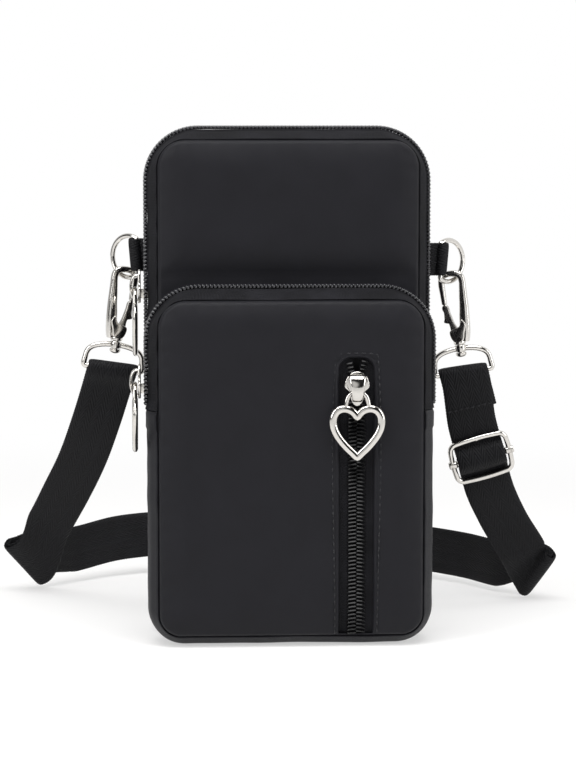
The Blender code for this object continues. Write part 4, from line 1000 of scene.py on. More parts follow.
@dataclass
class Panel:
    """A padded cloth panel with a turned edge, crowned between its seams."""

    name: str
    height: float
    rim_y: float
    facing: int
    crown: float
    crown_low: float
    seed: int
    slotted: bool = False
    left_columns: int = 52
    slot_columns: int = 12
    roll: float = 1.3
    lip: float = 1.0
    lip_floor: float = 0.3
    slot_top_radius: float = 4.5
    slot_low_radius: float = 0.5
    stitch_out: float = 1.5
    wave_height: float = 0.2
    pucker_height: float = 0.16
    pucker_pitch: float = 6.4
    pucker_reach: float = 4.0

    def half_at(self, z: Array) -> Array:
        """Return half the panel's width at each height, narrowed at its round corners."""
        top = self.height - SIZES.bulge
        return rounded_half(z, SIZES.seam_half, (
            (top - z, SIZES.top_radius), (z - SIZES.bulge, SIZES.bottom_radius)))

    def slot_half_at(self, z: Array) -> Array:
        """Return half the slot's width at each height, kept going beyond its ends for the grid."""
        result = rounded_half(z, SIZES.slot_half, (
            (SIZES.slot_high - z, self.slot_top_radius), (z - SIZES.slot_low, self.slot_low_radius)))
        return result + eased((z - SIZES.slot_high) / self.slot_top_radius / 2) * self.slot_top_radius

    def grid(self) -> tuple[Array, Array, slice, slice]:
        """Lay a grid over the panel that crowds at its edges and at the slot's.

        Returns:
            The x and z of every point, and the rows and columns that the slot leaves out.
        """
        low, top = SIZES.bulge, self.height - SIZES.bulge
        if not self.slotted:
            z = np.concatenate((
                crowded(low, low + 12, 20, Ends.START)[:-1], np.linspace(low + 12, top - 14, 84),
                crowded(top - 14, top, 24, Ends.END)[1:]))
            x = crowded(-1, 1, 96)[None] * self.half_at(z)[:, None]
            return x, np.broadcast_to(z[:, None], x.shape), slice(0, 0), slice(0, 0)
        z = np.concatenate((
            crowded(low, SIZES.slot_low, 8)[:-1], crowded(SIZES.slot_low, 13, 18, Ends.START)[:-1],
            np.linspace(13, SIZES.slot_high - 7, 76)[:-1],
            crowded(SIZES.slot_high - 7, SIZES.slot_high, 16, Ends.END)[:-1],
            crowded(SIZES.slot_high, 114, 12, Ends.START)[:-1], crowded(114, top, 18, Ends.END)))
        half, slot = self.half_at(z)[:, None], self.slot_half_at(z)[:, None]
        left = -half + (SIZES.slot_centre - slot + half) * crowded(0, 1, self.left_columns)
        inside = SIZES.slot_centre - slot + 2 * slot * crowded(0, 1, self.slot_columns)
        right = SIZES.slot_centre + slot + (half - SIZES.slot_centre - slot) * crowded(0, 1, 26)
        x = np.concatenate((left[:, :-1], inside[:, :-1], right), axis=1)
        rows = slice(*(int(np.argmin(np.abs(z - end))) for end in (SIZES.slot_low, SIZES.slot_high)))
        columns = slice(self.left_columns, self.left_columns + self.slot_columns)
        return x, np.broadcast_to(z[:, None], x.shape), rows, columns

    def build(self) -> Piece:
        """Make the panel as a closed sheet with an outer and an inner face.

        Formula: the outer face stands out by the crown, plus the wall times the quarter
        round of the nearest rim, plus low waves and the puckers of the seam; it dips at
        the slot's lips and along the row of stitches round it.

        Returns:
            The panel.
        """
        x, z, rows, columns = self.grid()
        low, top = SIZES.bulge, self.height - SIZES.bulge
        rim = rounded_distance(x, z, SIZES.seam_half, low, top, (SIZES.bottom_radius, SIZES.top_radius))
        rim = np.clip(rim, 0, None)
        inwards = rim if self.crown_low <= low else np.minimum(rim, z - self.crown_low)
        crown = self.crown * SIZES.crown_share(np.clip(inwards, 0, None))
        calm = np.clip(rim / 10, 0, 1)
        face = crown + SIZES.wall * rolled(rim, self.roll)
        face = face + self.wave_height * calm * soft_waves(x, z, self.seed, 70, 24)
        side_share = np.clip((np.abs(x) - SIZES.seam_half + 12) / 12, 0, 1)
        phase = np.where(side_share > 0.5, z, x) + 1.5 * soft_waves(x, z, self.seed + 1, 40, 18)
        pucker = np.sin(2 * pi * phase / self.pucker_pitch)
        fade = np.exp(-rim / self.pucker_reach) * np.clip(rim / 1.5, 0, 1)
        face = face + self.pucker_height * pucker * fade
        inner = crown
        if self.slotted:
            slot = -rounded_distance(
                x - SIZES.slot_centre, z, SIZES.slot_half, SIZES.slot_low, SIZES.slot_high,
                (self.slot_low_radius, self.slot_top_radius))
            lip = rolled(np.clip(slot, 0, None), self.lip)
            stitched = 0.32 * np.exp(-((slot - self.stitch_out) / 0.42) ** 2)
            face = crown + (face - crown) * (self.lip_floor + (1 - self.lip_floor) * lip) - stitched
        face = np.maximum(face, inner + 0.25)
        face[[0, -1]] = inner[[0, -1]] + 0.25
        sheets = [points_of(x, self.rim_y + self.facing * height, z) for height in (face, inner)]
        index = np.arange(x.size).reshape(x.shape)
        kept = np.ones((x.shape[0] - 1, x.shape[1] - 1), dtype=bool)
        kept[rows, columns] = False
        quads = np.stack((index[:-1, :-1], index[:-1, 1:], index[1:, 1:], index[1:, :-1]), axis=-1)[kept]
        if self.facing > 0:
            quads = quads[:, ::-1]
        start, end = border_edges(quads)
        walls = points_of(end, start, start + x.size, end + x.size)
        draft = Draft(self.name)
        used, numbered = np.unique(
            np.concatenate((quads, quads[:, ::-1] + x.size, walls)), return_inverse=True)
        draft.faces.append(numbered.reshape(-1, 4))
        draft.store(np.concatenate([sheet.reshape(-1, 3) for sheet in sheets])[used])
        return draft.finish()


def border_edges(quads: Array) -> tuple[Array, Array]:
    """Return the edges that only one quad has.

    Args:
        quads: Numbers of each quad's corners, in order.

    Returns:
        The edges' starts and ends.
    """
    starts = quads.ravel()
    ends = np.roll(quads, -1, axis=1).ravel()
    size = int(quads.max()) + 1
    alone = ~np.isin(starts * size + ends, ends * size + starts)
    return starts[alone], ends[alone]


@dataclass
class SlotZip:
    """The slot pocket's zip behind the front panel, and its stitches."""

    overlap: float = 3.0
    tape_wall: float = 0.6
    slider_reach: float = 5.0
    spread: float = 0.9
    stitch_pitch: float = 2.7
    stitch_length: float = 1.75
    stitch_radius: float = 0.26
    stitch_out: float = 1.45
    stitch_corner: float = 1.2

    def apart(self, z: Array) -> Array:
        """Return how far a coil row stands from its shut place: only above the slider."""
        return self.spread * eased((z - SIZES.slot_slider_z - self.slider_reach) / 6)

    def tape(self, side: int, word: str) -> Piece:
        """Hang one flat tape behind the slot's edge, following the panel's curve.

        Args:
            side: -1 for the left tape, 1 for the right.
            word: That tape's name.

        Returns:
            The tape.
        """
        low = SIZES.bulge + 0.3
        z = np.concatenate((
            crowded(low, low + 14, 20, Ends.START)[:-1], np.linspace(low + 14, 108.4, 80)))[:, None]
        face = SIZES.slot_sheet_y(z) + SIZES.gap
        shares = np.linspace(0, 1, 10)
        near = SIZES.slit / 2 + self.apart(z)
        far = SIZES.slot_half + self.overlap + 0.4
        x = SIZES.slot_centre + side * (near + (far - near) * shares)
        ridge = 0.12 * np.cos(2 * pi * shares * 3) * np.clip(np.minimum(shares, 1 - shares) * 6, 0, 1)
        front = points_of(x, face - ridge + 0.05, z)
        back = points_of(x, face + self.tape_wall, z)
        uv = points_of(np.concatenate((shares, shares[::-1])) * far, z)
        return Draft(f"slot_tape_{word}").add(np.concatenate((front, back[:, ::-1]), axis=1), uv=uv).finish()

    def coil(self, side: int, word: str) -> Piece:
        """Stand one row of coil turns in the slot, shut below the slider and parted above it.

        Args:
            side: -1 for the left row, 1 for the right.
            word: That row's name.

        Returns:
            The row of turns.
        """
        z = turn_places(SIZES.slot_low + 0.5, SIZES.slot_high - 0.9, side)
        local = coil_turns(z < SIZES.slot_slider_z - self.slider_reach)
        z = z[:, None, None]
        grid = points_of(
            SIZES.slot_centre + side * (local[..., 1] + self.apart(z)),
            SIZES.slot_sheet_y(z) - SIZES.coil_height / 2 - local[..., 2], z + local[..., 0])
        return Draft(f"slot_coil_{word}").add(grid).finish()

    def stitches(self, panel: Panel) -> Piece:
        """Sink a row of topstitches into the panel round the slot.

        Args:
            panel: The front panel, whose crown the stitches follow.

        Returns:
            The stitches, short rounded bars.
        """
        half, top = SIZES.slot_half + self.stitch_out, SIZES.slot_high + self.stitch_out
        arc = left_corner(np.linspace(0, pi / 2, 12), half, top, self.stitch_corner)
        rise = np.concatenate((((-half, SIZES.slot_low),), arc))
        walk = smooth_line(np.concatenate((rise, rise[::-1] * (-1, 1))), 0.2)
        places = np.arange(0.8, line_reach(walk)[-1] - 0.8, self.stitch_pitch)
        shares = np.linspace(-0.5, 0.5, 7)
        x, z = np.moveaxis(spots_on(walk, places[:, None] + shares * self.stitch_length), -1, 0)
        x = x + SIZES.slot_centre
        radii = (SIZES.bottom_radius, SIZES.top_radius)
        rim = rounded_distance(x, z, SIZES.seam_half, SIZES.bulge, panel.height - SIZES.bulge, radii)
        crown = panel.crown * SIZES.crown_share(np.clip(rim, 0, None))
        middle = points_of(x, panel.rim_y - crown - SIZES.wall - 0.06 + 0.3 * (2 * shares) ** 2, z)
        out = (0.0, -1.0, 0.0)
        side_way = unit(np.cross(unit(np.gradient(middle, axis=1)), out))
        return Draft("slot_topstitches").add(
            stitch_bars(middle, self.stitch_radius, 0.92, side_way, out)).finish()


def soft_tub(
    name: str, centre_x: float, half: float, low: float, high: float, front: float, rear: float, wall: float,
    seed: int,
) -> Piece:
    """Make a thin open-topped cloth bag with rounded lower corners and a wrinkled face.

    Formula: each level is a squared-off ring whose half width and half depth shrink
    by a quarter round near the bottom; the inner face is the same, moved in by the wall.

    Args:
        name: The piece's name.
        centre_x: Middle of its width.
        half: Half its width.
        low: Lowest point.
        high: Height of the open rim.
        front: Front face.
        rear: Rear face.
        wall: Thickness of the cloth.
        seed: Seed of its wrinkles.

    Returns:
        The bag.
    """
    corner = 5.0
    across, deep = ring_shares(96, 0.28)
    levels = np.concatenate((
        crowded(low, low + corner, 14, Ends.START), np.linspace(low + corner, high, 60)[1:]))
    sheets = []
    for inset in (0.0, wall):
        z = np.maximum(levels, low + inset)[:, None]
        inside = np.clip(low + corner - z, 0, corner - inset)
        narrow = corner - inset - np.sqrt(np.clip((corner - inset) ** 2 - inside ** 2, 0, None))
        x = centre_x + across * (half - inset - narrow)
        depth = (rear - front) / 2 - inset
        y = (front + rear) / 2 + deep * (depth - np.minimum(narrow, depth * 0.9))
        fade = np.clip((z - low) / 10, 0, 1) * np.clip((high - z) / 8, 0, 1)
        y = y - deep * 0.12 * fade * (1 + soft_waves(x, z + 0 * x, seed, 30, 12))
        sheets.append(points_of(x, y, z))
    return Draft(name).add(np.concatenate((sheets[0], sheets[1][::-1]))).finish()


@dataclass
class Slider:
    """A zip slider with its arched bridge, and the heart pull that hangs from it."""

    name: str
    origin: tuple[float, float, float]
    turn: float
    wide_end_down: bool
    length: float = 12.6
    width: float = 9.0
    nose: float = 5.2
    plate: float = 1.0
    head_share: float = 0.15
    tail_share: float = 0.25
    floor_share: float = 0.8
    tape_depth: float = 1.0
    web_half: tuple[float, float] = (0.3, 1.8)
    web_shift: float = 2.6
    bridge_length: float = 10.2
    bridge_shift: float = 0.3
    bridge_width: float = 4.6
    bridge_wall: float = 1.1
    bridge_rise: float = 3.8
    loop_width: float = 9.6
    loop_height: float = 5.6
    loop_line: tuple = (
        (-1.06, 1.0), (-1.0, 0.6), (-0.82, 0.24), (-0.45, 0.02), (0.45, 0.02), (0.82, 0.24), (1.0, 0.6),
        (1.06, 1.0))
    wire: float = 1.7
    heart_rim: float = 2.9
    heart_thickness: float = 2.0
    heart_line: tuple = (
        (0, 4.3), (0.7, 3.4), (1.9, 2.25), (3.7, 1.5), (5.6, 1.5), (7.2, 2.3), (8.3, 3.9), (8.65, 6.0),
        (8.25, 8.5), (7.2, 10.8), (5.6, 13.1), (3.6, 15.4), (1.6, 17.3), (0.5, 18.4), (0, 18.8))
    axis_drop: float = 1.2
    outline_points: int = 72

    def place(self, turned: bool) -> Place:
        """Return the frame: x across, y into the bag, z along the zip.

        Args:
            turned: Whether z points down, for the body of a slider whose wide end is low.

        Returns:
            The frame at the tape's face.
        """
        way = -1 if turned else 1
        x_way = np.array((cos(self.turn), sin(self.turn), 0.0)) * way
        y_way = np.array((-sin(self.turn), cos(self.turn), 0.0))
        return Place(np.array(self.origin), x_way, y_way, np.array((0.0, 0.0, float(way))))

    def outline(self, share: float = 1.0) -> Array:
        """Return the egg outline of the plates, wide at the head and narrow at the nose.

        Args:
            share: Share of the full size.

        Returns:
            Rows of (across, along).
        """
        turn = np.linspace(0, pi, self.outline_points // 2)
        halves = [
            points_of(
                way * width / 2 * np.cos(turn),
                way * self.length / 2 * (flat + (1 - flat) * np.sin(turn)))
            for way, width, flat in ((1, self.width, self.head_share), (-1, self.nose, self.tail_share))
        ]
        return even_loop(np.concatenate(halves), 0.35) * share

    def body(self) -> Piece:
        """Cast the slider: a domed top plate, a floor plate, the web between them and the bridge.

        Returns:
            The slider.
        """
        place = self.place(self.wide_end_down)
        top = -(SIZES.gap * 2 + SIZES.coil_height)
        back = self.tape_depth + SIZES.gap
        web = points_of(*ring_shares(16, 0.7)) * self.web_half + (0, self.web_shift)
        foot = top - self.plate + self.bridge_wall / 2
        turn = np.linspace(0, pi, 41)
        arch = smooth_line(points_of(
            0.0, foot - (self.bridge_rise - self.bridge_wall / 2) * np.sin(turn) ** 0.6,
            (self.bridge_length - self.bridge_wall) / 2 * np.cos(turn) + self.bridge_shift), 0.25)
        bridge = tube(arch, (1.0, 0.0, 0.0), self.bridge_wall / 2, 18, power=0.9)
        waist = 1.05 - 0.45 * np.clip(np.linspace(-1, 1, len(arch)), -0.7, 0.6)
        bridge[..., 0] *= self.bridge_width / self.bridge_wall * waist[:, None]
        draft = Draft(f"{self.name}_slider_body")
        draft.add(slab(self.outline(), top - self.plate, top, 0.42, place))
        draft.add(slab(self.outline(self.floor_share), back, back + self.plate, 0.3, place))
        draft.add(slab(web, top - self.plate / 2, back + self.plate / 2, 0.1, place))
        return draft.add(place.at(bridge)).finish()

    def heart(self) -> Piece:
        """Cast the pull: an arched loop over a heart-shaped ring with a ridge all round.

        Formula: half of the rim's middle line is given by points from the notch to the
        tip, mirrored and smoothed; a low roof-like section is carried along it.

        Returns:
            The pull.
        """
        frame = self.place(False)
        out = SIZES.gap * 3 + SIZES.coil_height + self.plate + self.wire / 2
        frame.origin = frame.at((0, -out, -self.axis_drop))
        half_line = np.array(self.heart_line)
        line = smooth_line(np.concatenate((half_line, half_line[-2:0:-1] * (-1, 1))), 0.3, closed=True)
        top = self.loop_height - self.wire / 2 - SIZES.gap
        through = (0.0, 1.0, 0.0)
        ring = tube(
            points_of(line[:, 0], 0.0, -top - line[:, 1]), through, self.heart_rim / 2, 24, closed=True,
            flat=self.heart_thickness / self.heart_rim, power=1.08)
        low = self.loop_height - self.wire / 2 + self.heart_rim / 2
        arch = np.array(self.loop_line) * ((self.loop_width - self.wire) / 2, -low)
        bow = tube(smooth_line(points_of(arch[:, 0], 0.0, arch[:, 1]), 0.3), through, self.wire / 2, 18)
        return Draft(f"{self.name}_heart_pull").add(frame.at(ring), closed=True).add(frame.at(bow)).finish()


def ribbon(
    rungs: Array, wall: float, step: float, serration: float = 0.0, wander: float = 0.0,
) -> tuple[Array, Array]:
    """Sweep a flat section with rounded edges along rungs.

    Formula: rungs are smoothed together as one line in six dimensions; each ring is a
    flattened, squared-off ellipse across the rung, whose edges swing in and out by a
    fine sine where the weft turns back.

    Args:
        rungs: Pairs of edge points, (count, 2, 3).
        wall: Thickness.
        step: Distance between rings.
        serration: How far the edge's weft loops stand out.
        wander: How far the edges wander.

    Returns:
        The grid, and its pattern coordinates from the middle across and along.
    """
    even = smooth_line(rungs.reshape(len(rungs), 6) / 2 ** 0.5, step) * 2 ** 0.5
    first, second = even[:, :3], even[:, 3:]
    middle = (first + second) / 2
    width = np.linalg.norm(second - first, axis=1, keepdims=True)
    across = (second - first) / width
    normal = unit(np.cross(np.gradient(middle, axis=0), across))
    reach = line_reach(middle)[:, None]
    half = width / 2 + serration * np.sin(2 * pi * reach / 1.2)
    place = np.array((
        -1.0, -0.985, -0.93, -0.8, -0.55, -0.25, 0.0, 0.25, 0.55, 0.8, 0.93, 0.985, 1.0))
    lift = (1 - np.abs(place) ** 9) ** 0.5
    sway = wander * np.sin(reach / 9.0) * place[None] ** 2
    top = np.concatenate((place, place[-2:0:-1]))
    height = np.concatenate((lift, -lift[-2:0:-1]))
    sway = np.concatenate((sway, sway[:, -2:0:-1]), axis=1)
    grid = (
        middle[:, None] + across[:, None] * (half * top)[..., None]
        + normal[:, None] * (wall / 2 * height + sway)[..., None])
    return grid, points_of(half * top, reach)


@dataclass
class SideHardware:
    """One side's tab, D-ring, snap hook, gate and swivel eye."""

    side: int
    word: str
    ring_out: float
    ring_z: float
    tab_plane_y: float = 13.0
    tab_width: float = 12.2
    tab_wall: float = 1.1
    tab_slit: float = 0.2
    tab_rise: float = 0.8
    tab_pull: float = 1.0
    tab_sewn: float = 2.8
    seam_in: float = 1.2
    stitch_length: float = 1.6
    thread_radius: float = 0.3
    ring_wire: float = 1.9
    ring_height: float = 15.6
    ring_reach: float = 11.2
    bow_turn: float = radians(122)
    ring_turn: float = radians(35)
    seat_out: float = 5.7
    hook_turn: float = radians(20)
    hook_lean: float = radians(8)
    leg_line: tuple = (
        (1.9, -23.0, 1.9, 1.7), (2.6, -20.4, 1.85, 1.8), (2.9, -17.6, 1.9, 1.75), (3.15, -14.0, 1.9, 1.6),
        (3.5, -10.0, 1.7, 1.5), (3.7, -6.0, 1.5, 1.4), (3.9, -2.6, 1.3, 1.3))
    hook_half: float = 4.0
    hook_crown: float = 3.0
    nose_drop: float = 8.4
    base_drop: float = 18.0
    collar_drop: float = 24.0
    base_thickness: float = 4.6
    base_width: float = 6.0
    collar_diameter: float = 4.6
    collar_height: float = 1.3
    shank_diameter: float = 2.0
    rivet_diameter: float = 4.2
    rivet_height: float = 1.8
    gate_width: float = 1.9
    gate_thickness: float = 2.0
    ear_radius: float = 1.5
    pin_diameter: float = 1.2
    pivot_out: float = -1.0
    pivot_drop: float = 19.6
    thumb: float = 1.5
    eye_wire: float = 2.1
    boss_diameter: float = 4.4
    boss_height: float = 2.6
    eye_drop: float = 9.0
    eye_shoulder: float = 0.42
    strap_width: float = 18.6
    strap_clear: float = 0.35

    @property
    def bar(self) -> Array:
        """Middle of the ring's straight bar."""
        return np.array((self.side * (SIZES.seam_half + self.ring_out), self.tab_plane_y, self.ring_z))

    @property
    def hook_place(self) -> Place:
        """Work out the hook's frame.

        Returns:
            The frame: outward, through its plane, and up.
        """
        up = np.array((-self.side * sin(self.hook_lean), 0.0, cos(self.hook_lean)))
        flat = np.array((self.side * cos(self.hook_turn), -sin(self.hook_turn), 0.0))
        out = unit(flat - up * (flat @ up))
        through = np.cross(out, up) * self.side
        bow = np.array((self.side * cos(self.ring_turn), sin(self.ring_turn), 0.0))
        seat = self.bar + bow * self.seat_out - (0, 0, self.ring_height / 2)
        return Place(seat, out, through, up)

    @property
    def eye_place(self) -> Place:
        """Work out the frame of the eye, which faces the front.

        Returns:
            The frame: outward, through, and up.
        """
        hook = self.hook_place
        facing = np.array((float(self.side), 0.0, 0.0))
        out = unit(facing - hook.z_way * (facing @ hook.z_way))
        return Place(hook.origin, out, np.cross(out, hook.z_way) * self.side, hook.z_way)

    @property
    def eye_bar(self) -> Array:
        """Middle of the eye's straight bar."""
        up = -self.collar_drop - SIZES.gap - self.boss_height / 2 - self.eye_drop
        return self.eye_place.at((0, 0, up))

    def tab(self) -> tuple[Piece, Piece]:
        """Fold the webbing tab round the ring's bar and sew it.

        Returns:
            The tab and its stitches.
        """
        bar_x, level = SIZES.seam_half + self.ring_out, self.ring_z + self.tab_rise
        root = SIZES.seam_half - self.tab_sewn
        radius = self.ring_wire / 2 + SIZES.gap + self.tab_wall / 2
        layer = (self.tab_slit + self.tab_wall) / 2
        first = asin(layer / radius)
        turn = pi - first - (2 * pi - 2 * first) * np.linspace(0, 1, 11)
        loop = points_of(bar_x + radius * np.cos(turn), radius * np.sin(turn))
        neck = bar_x - radius * 2
        ends = np.array(((root, layer), (neck, layer)))
        path = np.concatenate((ends, loop, (ends * (1, -1))[::-1]))
        middle = points_of(self.side * path[:, 0], self.tab_plane_y + path[:, 1], level)
        half = np.array((0, 0, self.tab_width / 2))
        beyond = np.clip((path[:, :1] - neck) / radius, 0, 1)
        pulled = half + beyond * (self.side * self.tab_pull, 0, 0)
        grid, uv = ribbon(np.stack((middle - half, middle + pulled), axis=1), self.tab_wall, 0.25, 0.08)
        tab = Draft(f"{self.word}_webbing_tab").add(grid, uv=uv).finish()
        face = np.array((-1, 1))[:, None, None] * (layer + self.tab_wall / 2)
        places = (np.linspace(-0.4, 0.4, 5) * self.tab_width)[:, None]
        lines = points_of(
            self.side * (neck - self.seam_in), self.tab_plane_y + face,
            level + places + np.linspace(-0.5, 0.5, 5) * self.stitch_length)
        bars = stitch_bars(
            np.concatenate(lines), self.thread_radius, 0.9, (1.0, 0.0, 0.0), (0.0, 1.0, 0.0))
        return tab, Draft(f"{self.word}_tab_stitches").add(bars).finish()

    def ring(self) -> Piece:
        """Bend the D-ring's wire: a straight bar in the tab and a round bow beyond it.

        Returns:
            The ring.
        """
        outwards = np.array((self.side * cos(self.ring_turn), sin(self.ring_turn), 0.0))
        turn = np.linspace(-self.bow_turn, self.bow_turn, 41)
        middle = self.ring_reach * cos(self.bow_turn) / (cos(self.bow_turn) - 1)
        reach = middle + (self.ring_reach - middle) * np.cos(turn)
        rise = self.ring_height / 2 * np.sin(turn)
        bar = np.linspace(rise[-1], rise[0], 14)[1:-1]
        reach = np.concatenate((reach, 0 * bar))
        rise = np.concatenate((rise, bar))
        line = self.bar + outwards * reach[:, None] + np.array((0, 0, 1.0)) * rise[:, None]
        line = smooth_line(line, 0.35, closed=True)
        normal = np.cross(outwards, (0, 0, 1.0))
        return Draft(f"{self.word}_ring_wire").add(
            tube(line, normal, self.ring_wire / 2, 22, closed=True), closed=True).finish()

    def hook(self) -> Piece:
        """Cast the snap hook: bent bar, forked base, collar, shank and riveted end.

        Returns:
            The hook.
        """
        place, eye = self.hook_place, self.eye_place
        half, base = self.hook_half, self.base_drop
        squared = np.sign(np.cos(HALF_TURN)) * np.abs(np.cos(HALF_TURN)) ** 0.8
        crown = points_of(half * squared, self.hook_crown * np.sin(HALF_TURN) ** 0.85, 1.2, 1.25)
        even = smooth_line(np.concatenate((
            self.leg_line, crown,
            ((-half, -self.nose_drop * 0.5, 1.1, 1.2), (-half * 0.98, -self.nose_drop - 0.3, 0.95, 1.0)),
        )), 0.3)
        line = points_of(even[:, 0], 0.0, even[:, 1])
        from_end = np.minimum(line_reach(line), line_reach(line[::-1])[::-1])
        radii = even[:, 2] * (0.5 + 0.5 * rolled(from_end, 0.5))
        bar = tube(place.at(line), place.y_way, radii, 28, flat=even[:, 3] / even[:, 2], power=0.55)
        draft = Draft(f"{self.word}_snap_hook").add(bar)
        low = -self.collar_drop + self.collar_height
        wide = self.base_width / 2
        outline = even_loop(np.array((
            (-wide * 0.55, low), (wide * 0.6, low), (wide * 0.95, -base - 1.6), (wide * 1.2, -base + 1.6),
            (wide * 0.8, -base + 3.4), (wide * 0.3, -base + 0.8), (-wide * 0.4, -base + 0.1),
            (-wide * 0.92, -base - 0.7), (-wide * 0.9, -base - 2.9))), 0.35)
        cheek = (self.base_thickness - self.gate_width) / 2 - SIZES.gap
        thick = self.base_thickness / 2
        for start in (-thick, thick - cheek):
            draft.add(slab(outline, start, start + cheek, 0.35, place))
        stub = even_loop(np.array((
            (-wide * 0.45, low), (wide * 0.55, low), (wide * 0.9, -base - 1.6), (wide * 1.1, -base + 1.6),
            (wide * 0.7, -base + 2.6), (0.9, -base - 0.4), (0.8, -base - 2.6), (-wide * 0.4, -base - 3.6))),
            0.35)
        draft.add(slab(stub, -thick + cheek / 2, thick - cheek / 2, 0.1, place))
        collar = rounded_ends(self.collar_diameter / 2, -self.collar_drop, low + 0.3, 0.4)
        draft.add(lathe(eye, collar))
        head = -self.collar_drop - SIZES.gap * 2 - self.boss_height
        shank = np.array(((NEAR_AXIS, head - 0.8), (1.0, head - 0.8), (1.0, low), (NEAR_AXIS, low)))
        draft.add(lathe(eye, shank * (self.shank_diameter / 2, 1)))
        turn = np.linspace(0, pi / 2, 7)
        rivet = self.rivet_diameter / 2
        dome = points_of(
            rivet * np.sin(turn), head - self.rivet_height + self.rivet_height * 0.7 * (1 - np.cos(turn)))
        dome[0, 0] = NEAR_AXIS
        rim = np.array(((rivet, head - 0.2), (rivet - 0.2, head), (NEAR_AXIS, head)))
        draft.add(lathe(eye, np.concatenate((dome, rim))))
        return draft.finish()

    def pin(self) -> Piece:
        """Set the gate's pin, with slightly domed ends.

        Returns:
            The pin.
        """
        place = self.hook_place
        frame = Place(
            place.at((self.pivot_out, 0, -self.pivot_drop)), place.z_way, place.x_way, place.y_way)
        reach = self.base_thickness / 2
        profile = rounded_ends(self.pin_diameter / 2, -reach, reach, 0.25)
        return Draft(f"{self.word}_gate_rivet").add(lathe(frame, profile, 20)).finish()

    def gate(self) -> Piece:
        """Press the gate: an ear round the pin, a leaf up to the nose and a ribbed thumb nib.

        Returns:
            The gate.
        """
        place = self.hook_place
        low = np.array((self.pivot_out, -self.pivot_drop))
        high = np.array((-self.hook_half, -self.nose_drop - 0.45))
        along = unit(high - low)
        side = np.array((along[1], -along[0]))
        length = float(np.linalg.norm(high - low))
        thick = self.gate_thickness / 2
        turn = np.linspace(0, pi, 11)
        ear = low + self.ear_radius * (side * np.cos(turn)[:, None] - along * np.sin(turn)[:, None])
        marks = np.array((
            (0.3, -thick), (0.37, -thick), (0.42, -thick - self.thumb * 0.6), (0.47, -thick - self.thumb),
            (0.53, -thick - self.thumb * 0.85), (0.6, -thick), (0.7, -thick), (0.97, -thick),
            (1.0, -thick * 0.7), (1.0, thick * 0.7), (0.97, thick), (0.7, thick), (0.3, thick)))
        leaf = low + along * length * marks[:, :1] + side * marks[:, 1:]
        outline = even_loop(np.concatenate((ear, leaf)), 0.22)
        grid = slab(outline, -self.gate_width / 2, self.gate_width / 2, 0.3, place)
        return Draft(f"{self.word}_gate_leaf").add(grid).finish()

    def eye(self) -> Piece:
        """Cast the swivel eye: a boss on the hook's shank and an arch with a straight bar.

        Returns:
            The eye.
        """
        place = self.eye_place
        top = -self.collar_drop - SIZES.gap
        low = top - self.boss_height
        hole = self.shank_diameter / 2 + SIZES.gap
        rim = rounded_ends(self.boss_diameter / 2, low, top, 0.4)[1:-1]
        section = np.concatenate((rim, ((hole, top), (hole, low))))
        across, up = ring_shares(28)
        local = points_of(section[:, 0] * across[:, None], section[:, 0] * up[:, None], section[:, 1])
        draft = Draft(f"{self.word}_eye_loop").add(place.at(local), closed=True)
        half = (self.strap_width + self.eye_wire) / 2 + self.strap_clear
        turn = np.linspace(0, pi, 29)
        rise = self.eye_drop * (1 - np.sin(turn) ** self.eye_shoulder)
        rise[[0, -1]] = self.eye_drop
        line = points_of(half * np.cos(turn), 0.0, (top + low) / 2 - rise)
        first, last = line[line[:, 0] > hole], line[line[:, 0] < -hole]
        straight = points_of(np.linspace(half, -half, 9)[1:-1], 0.0, line[0, 2])
        root_x, root_z = hole + 0.5, line[len(line) // 2, 2]
        bow = smooth_line(np.concatenate((
            ((root_x, 0, root_z),), first[::-1], straight, last[::-1], ((-root_x, 0, root_z),))), 0.35)
        return draft.add(tube(place.at(bow), place.y_way, self.eye_wire / 2, 22)).finish()


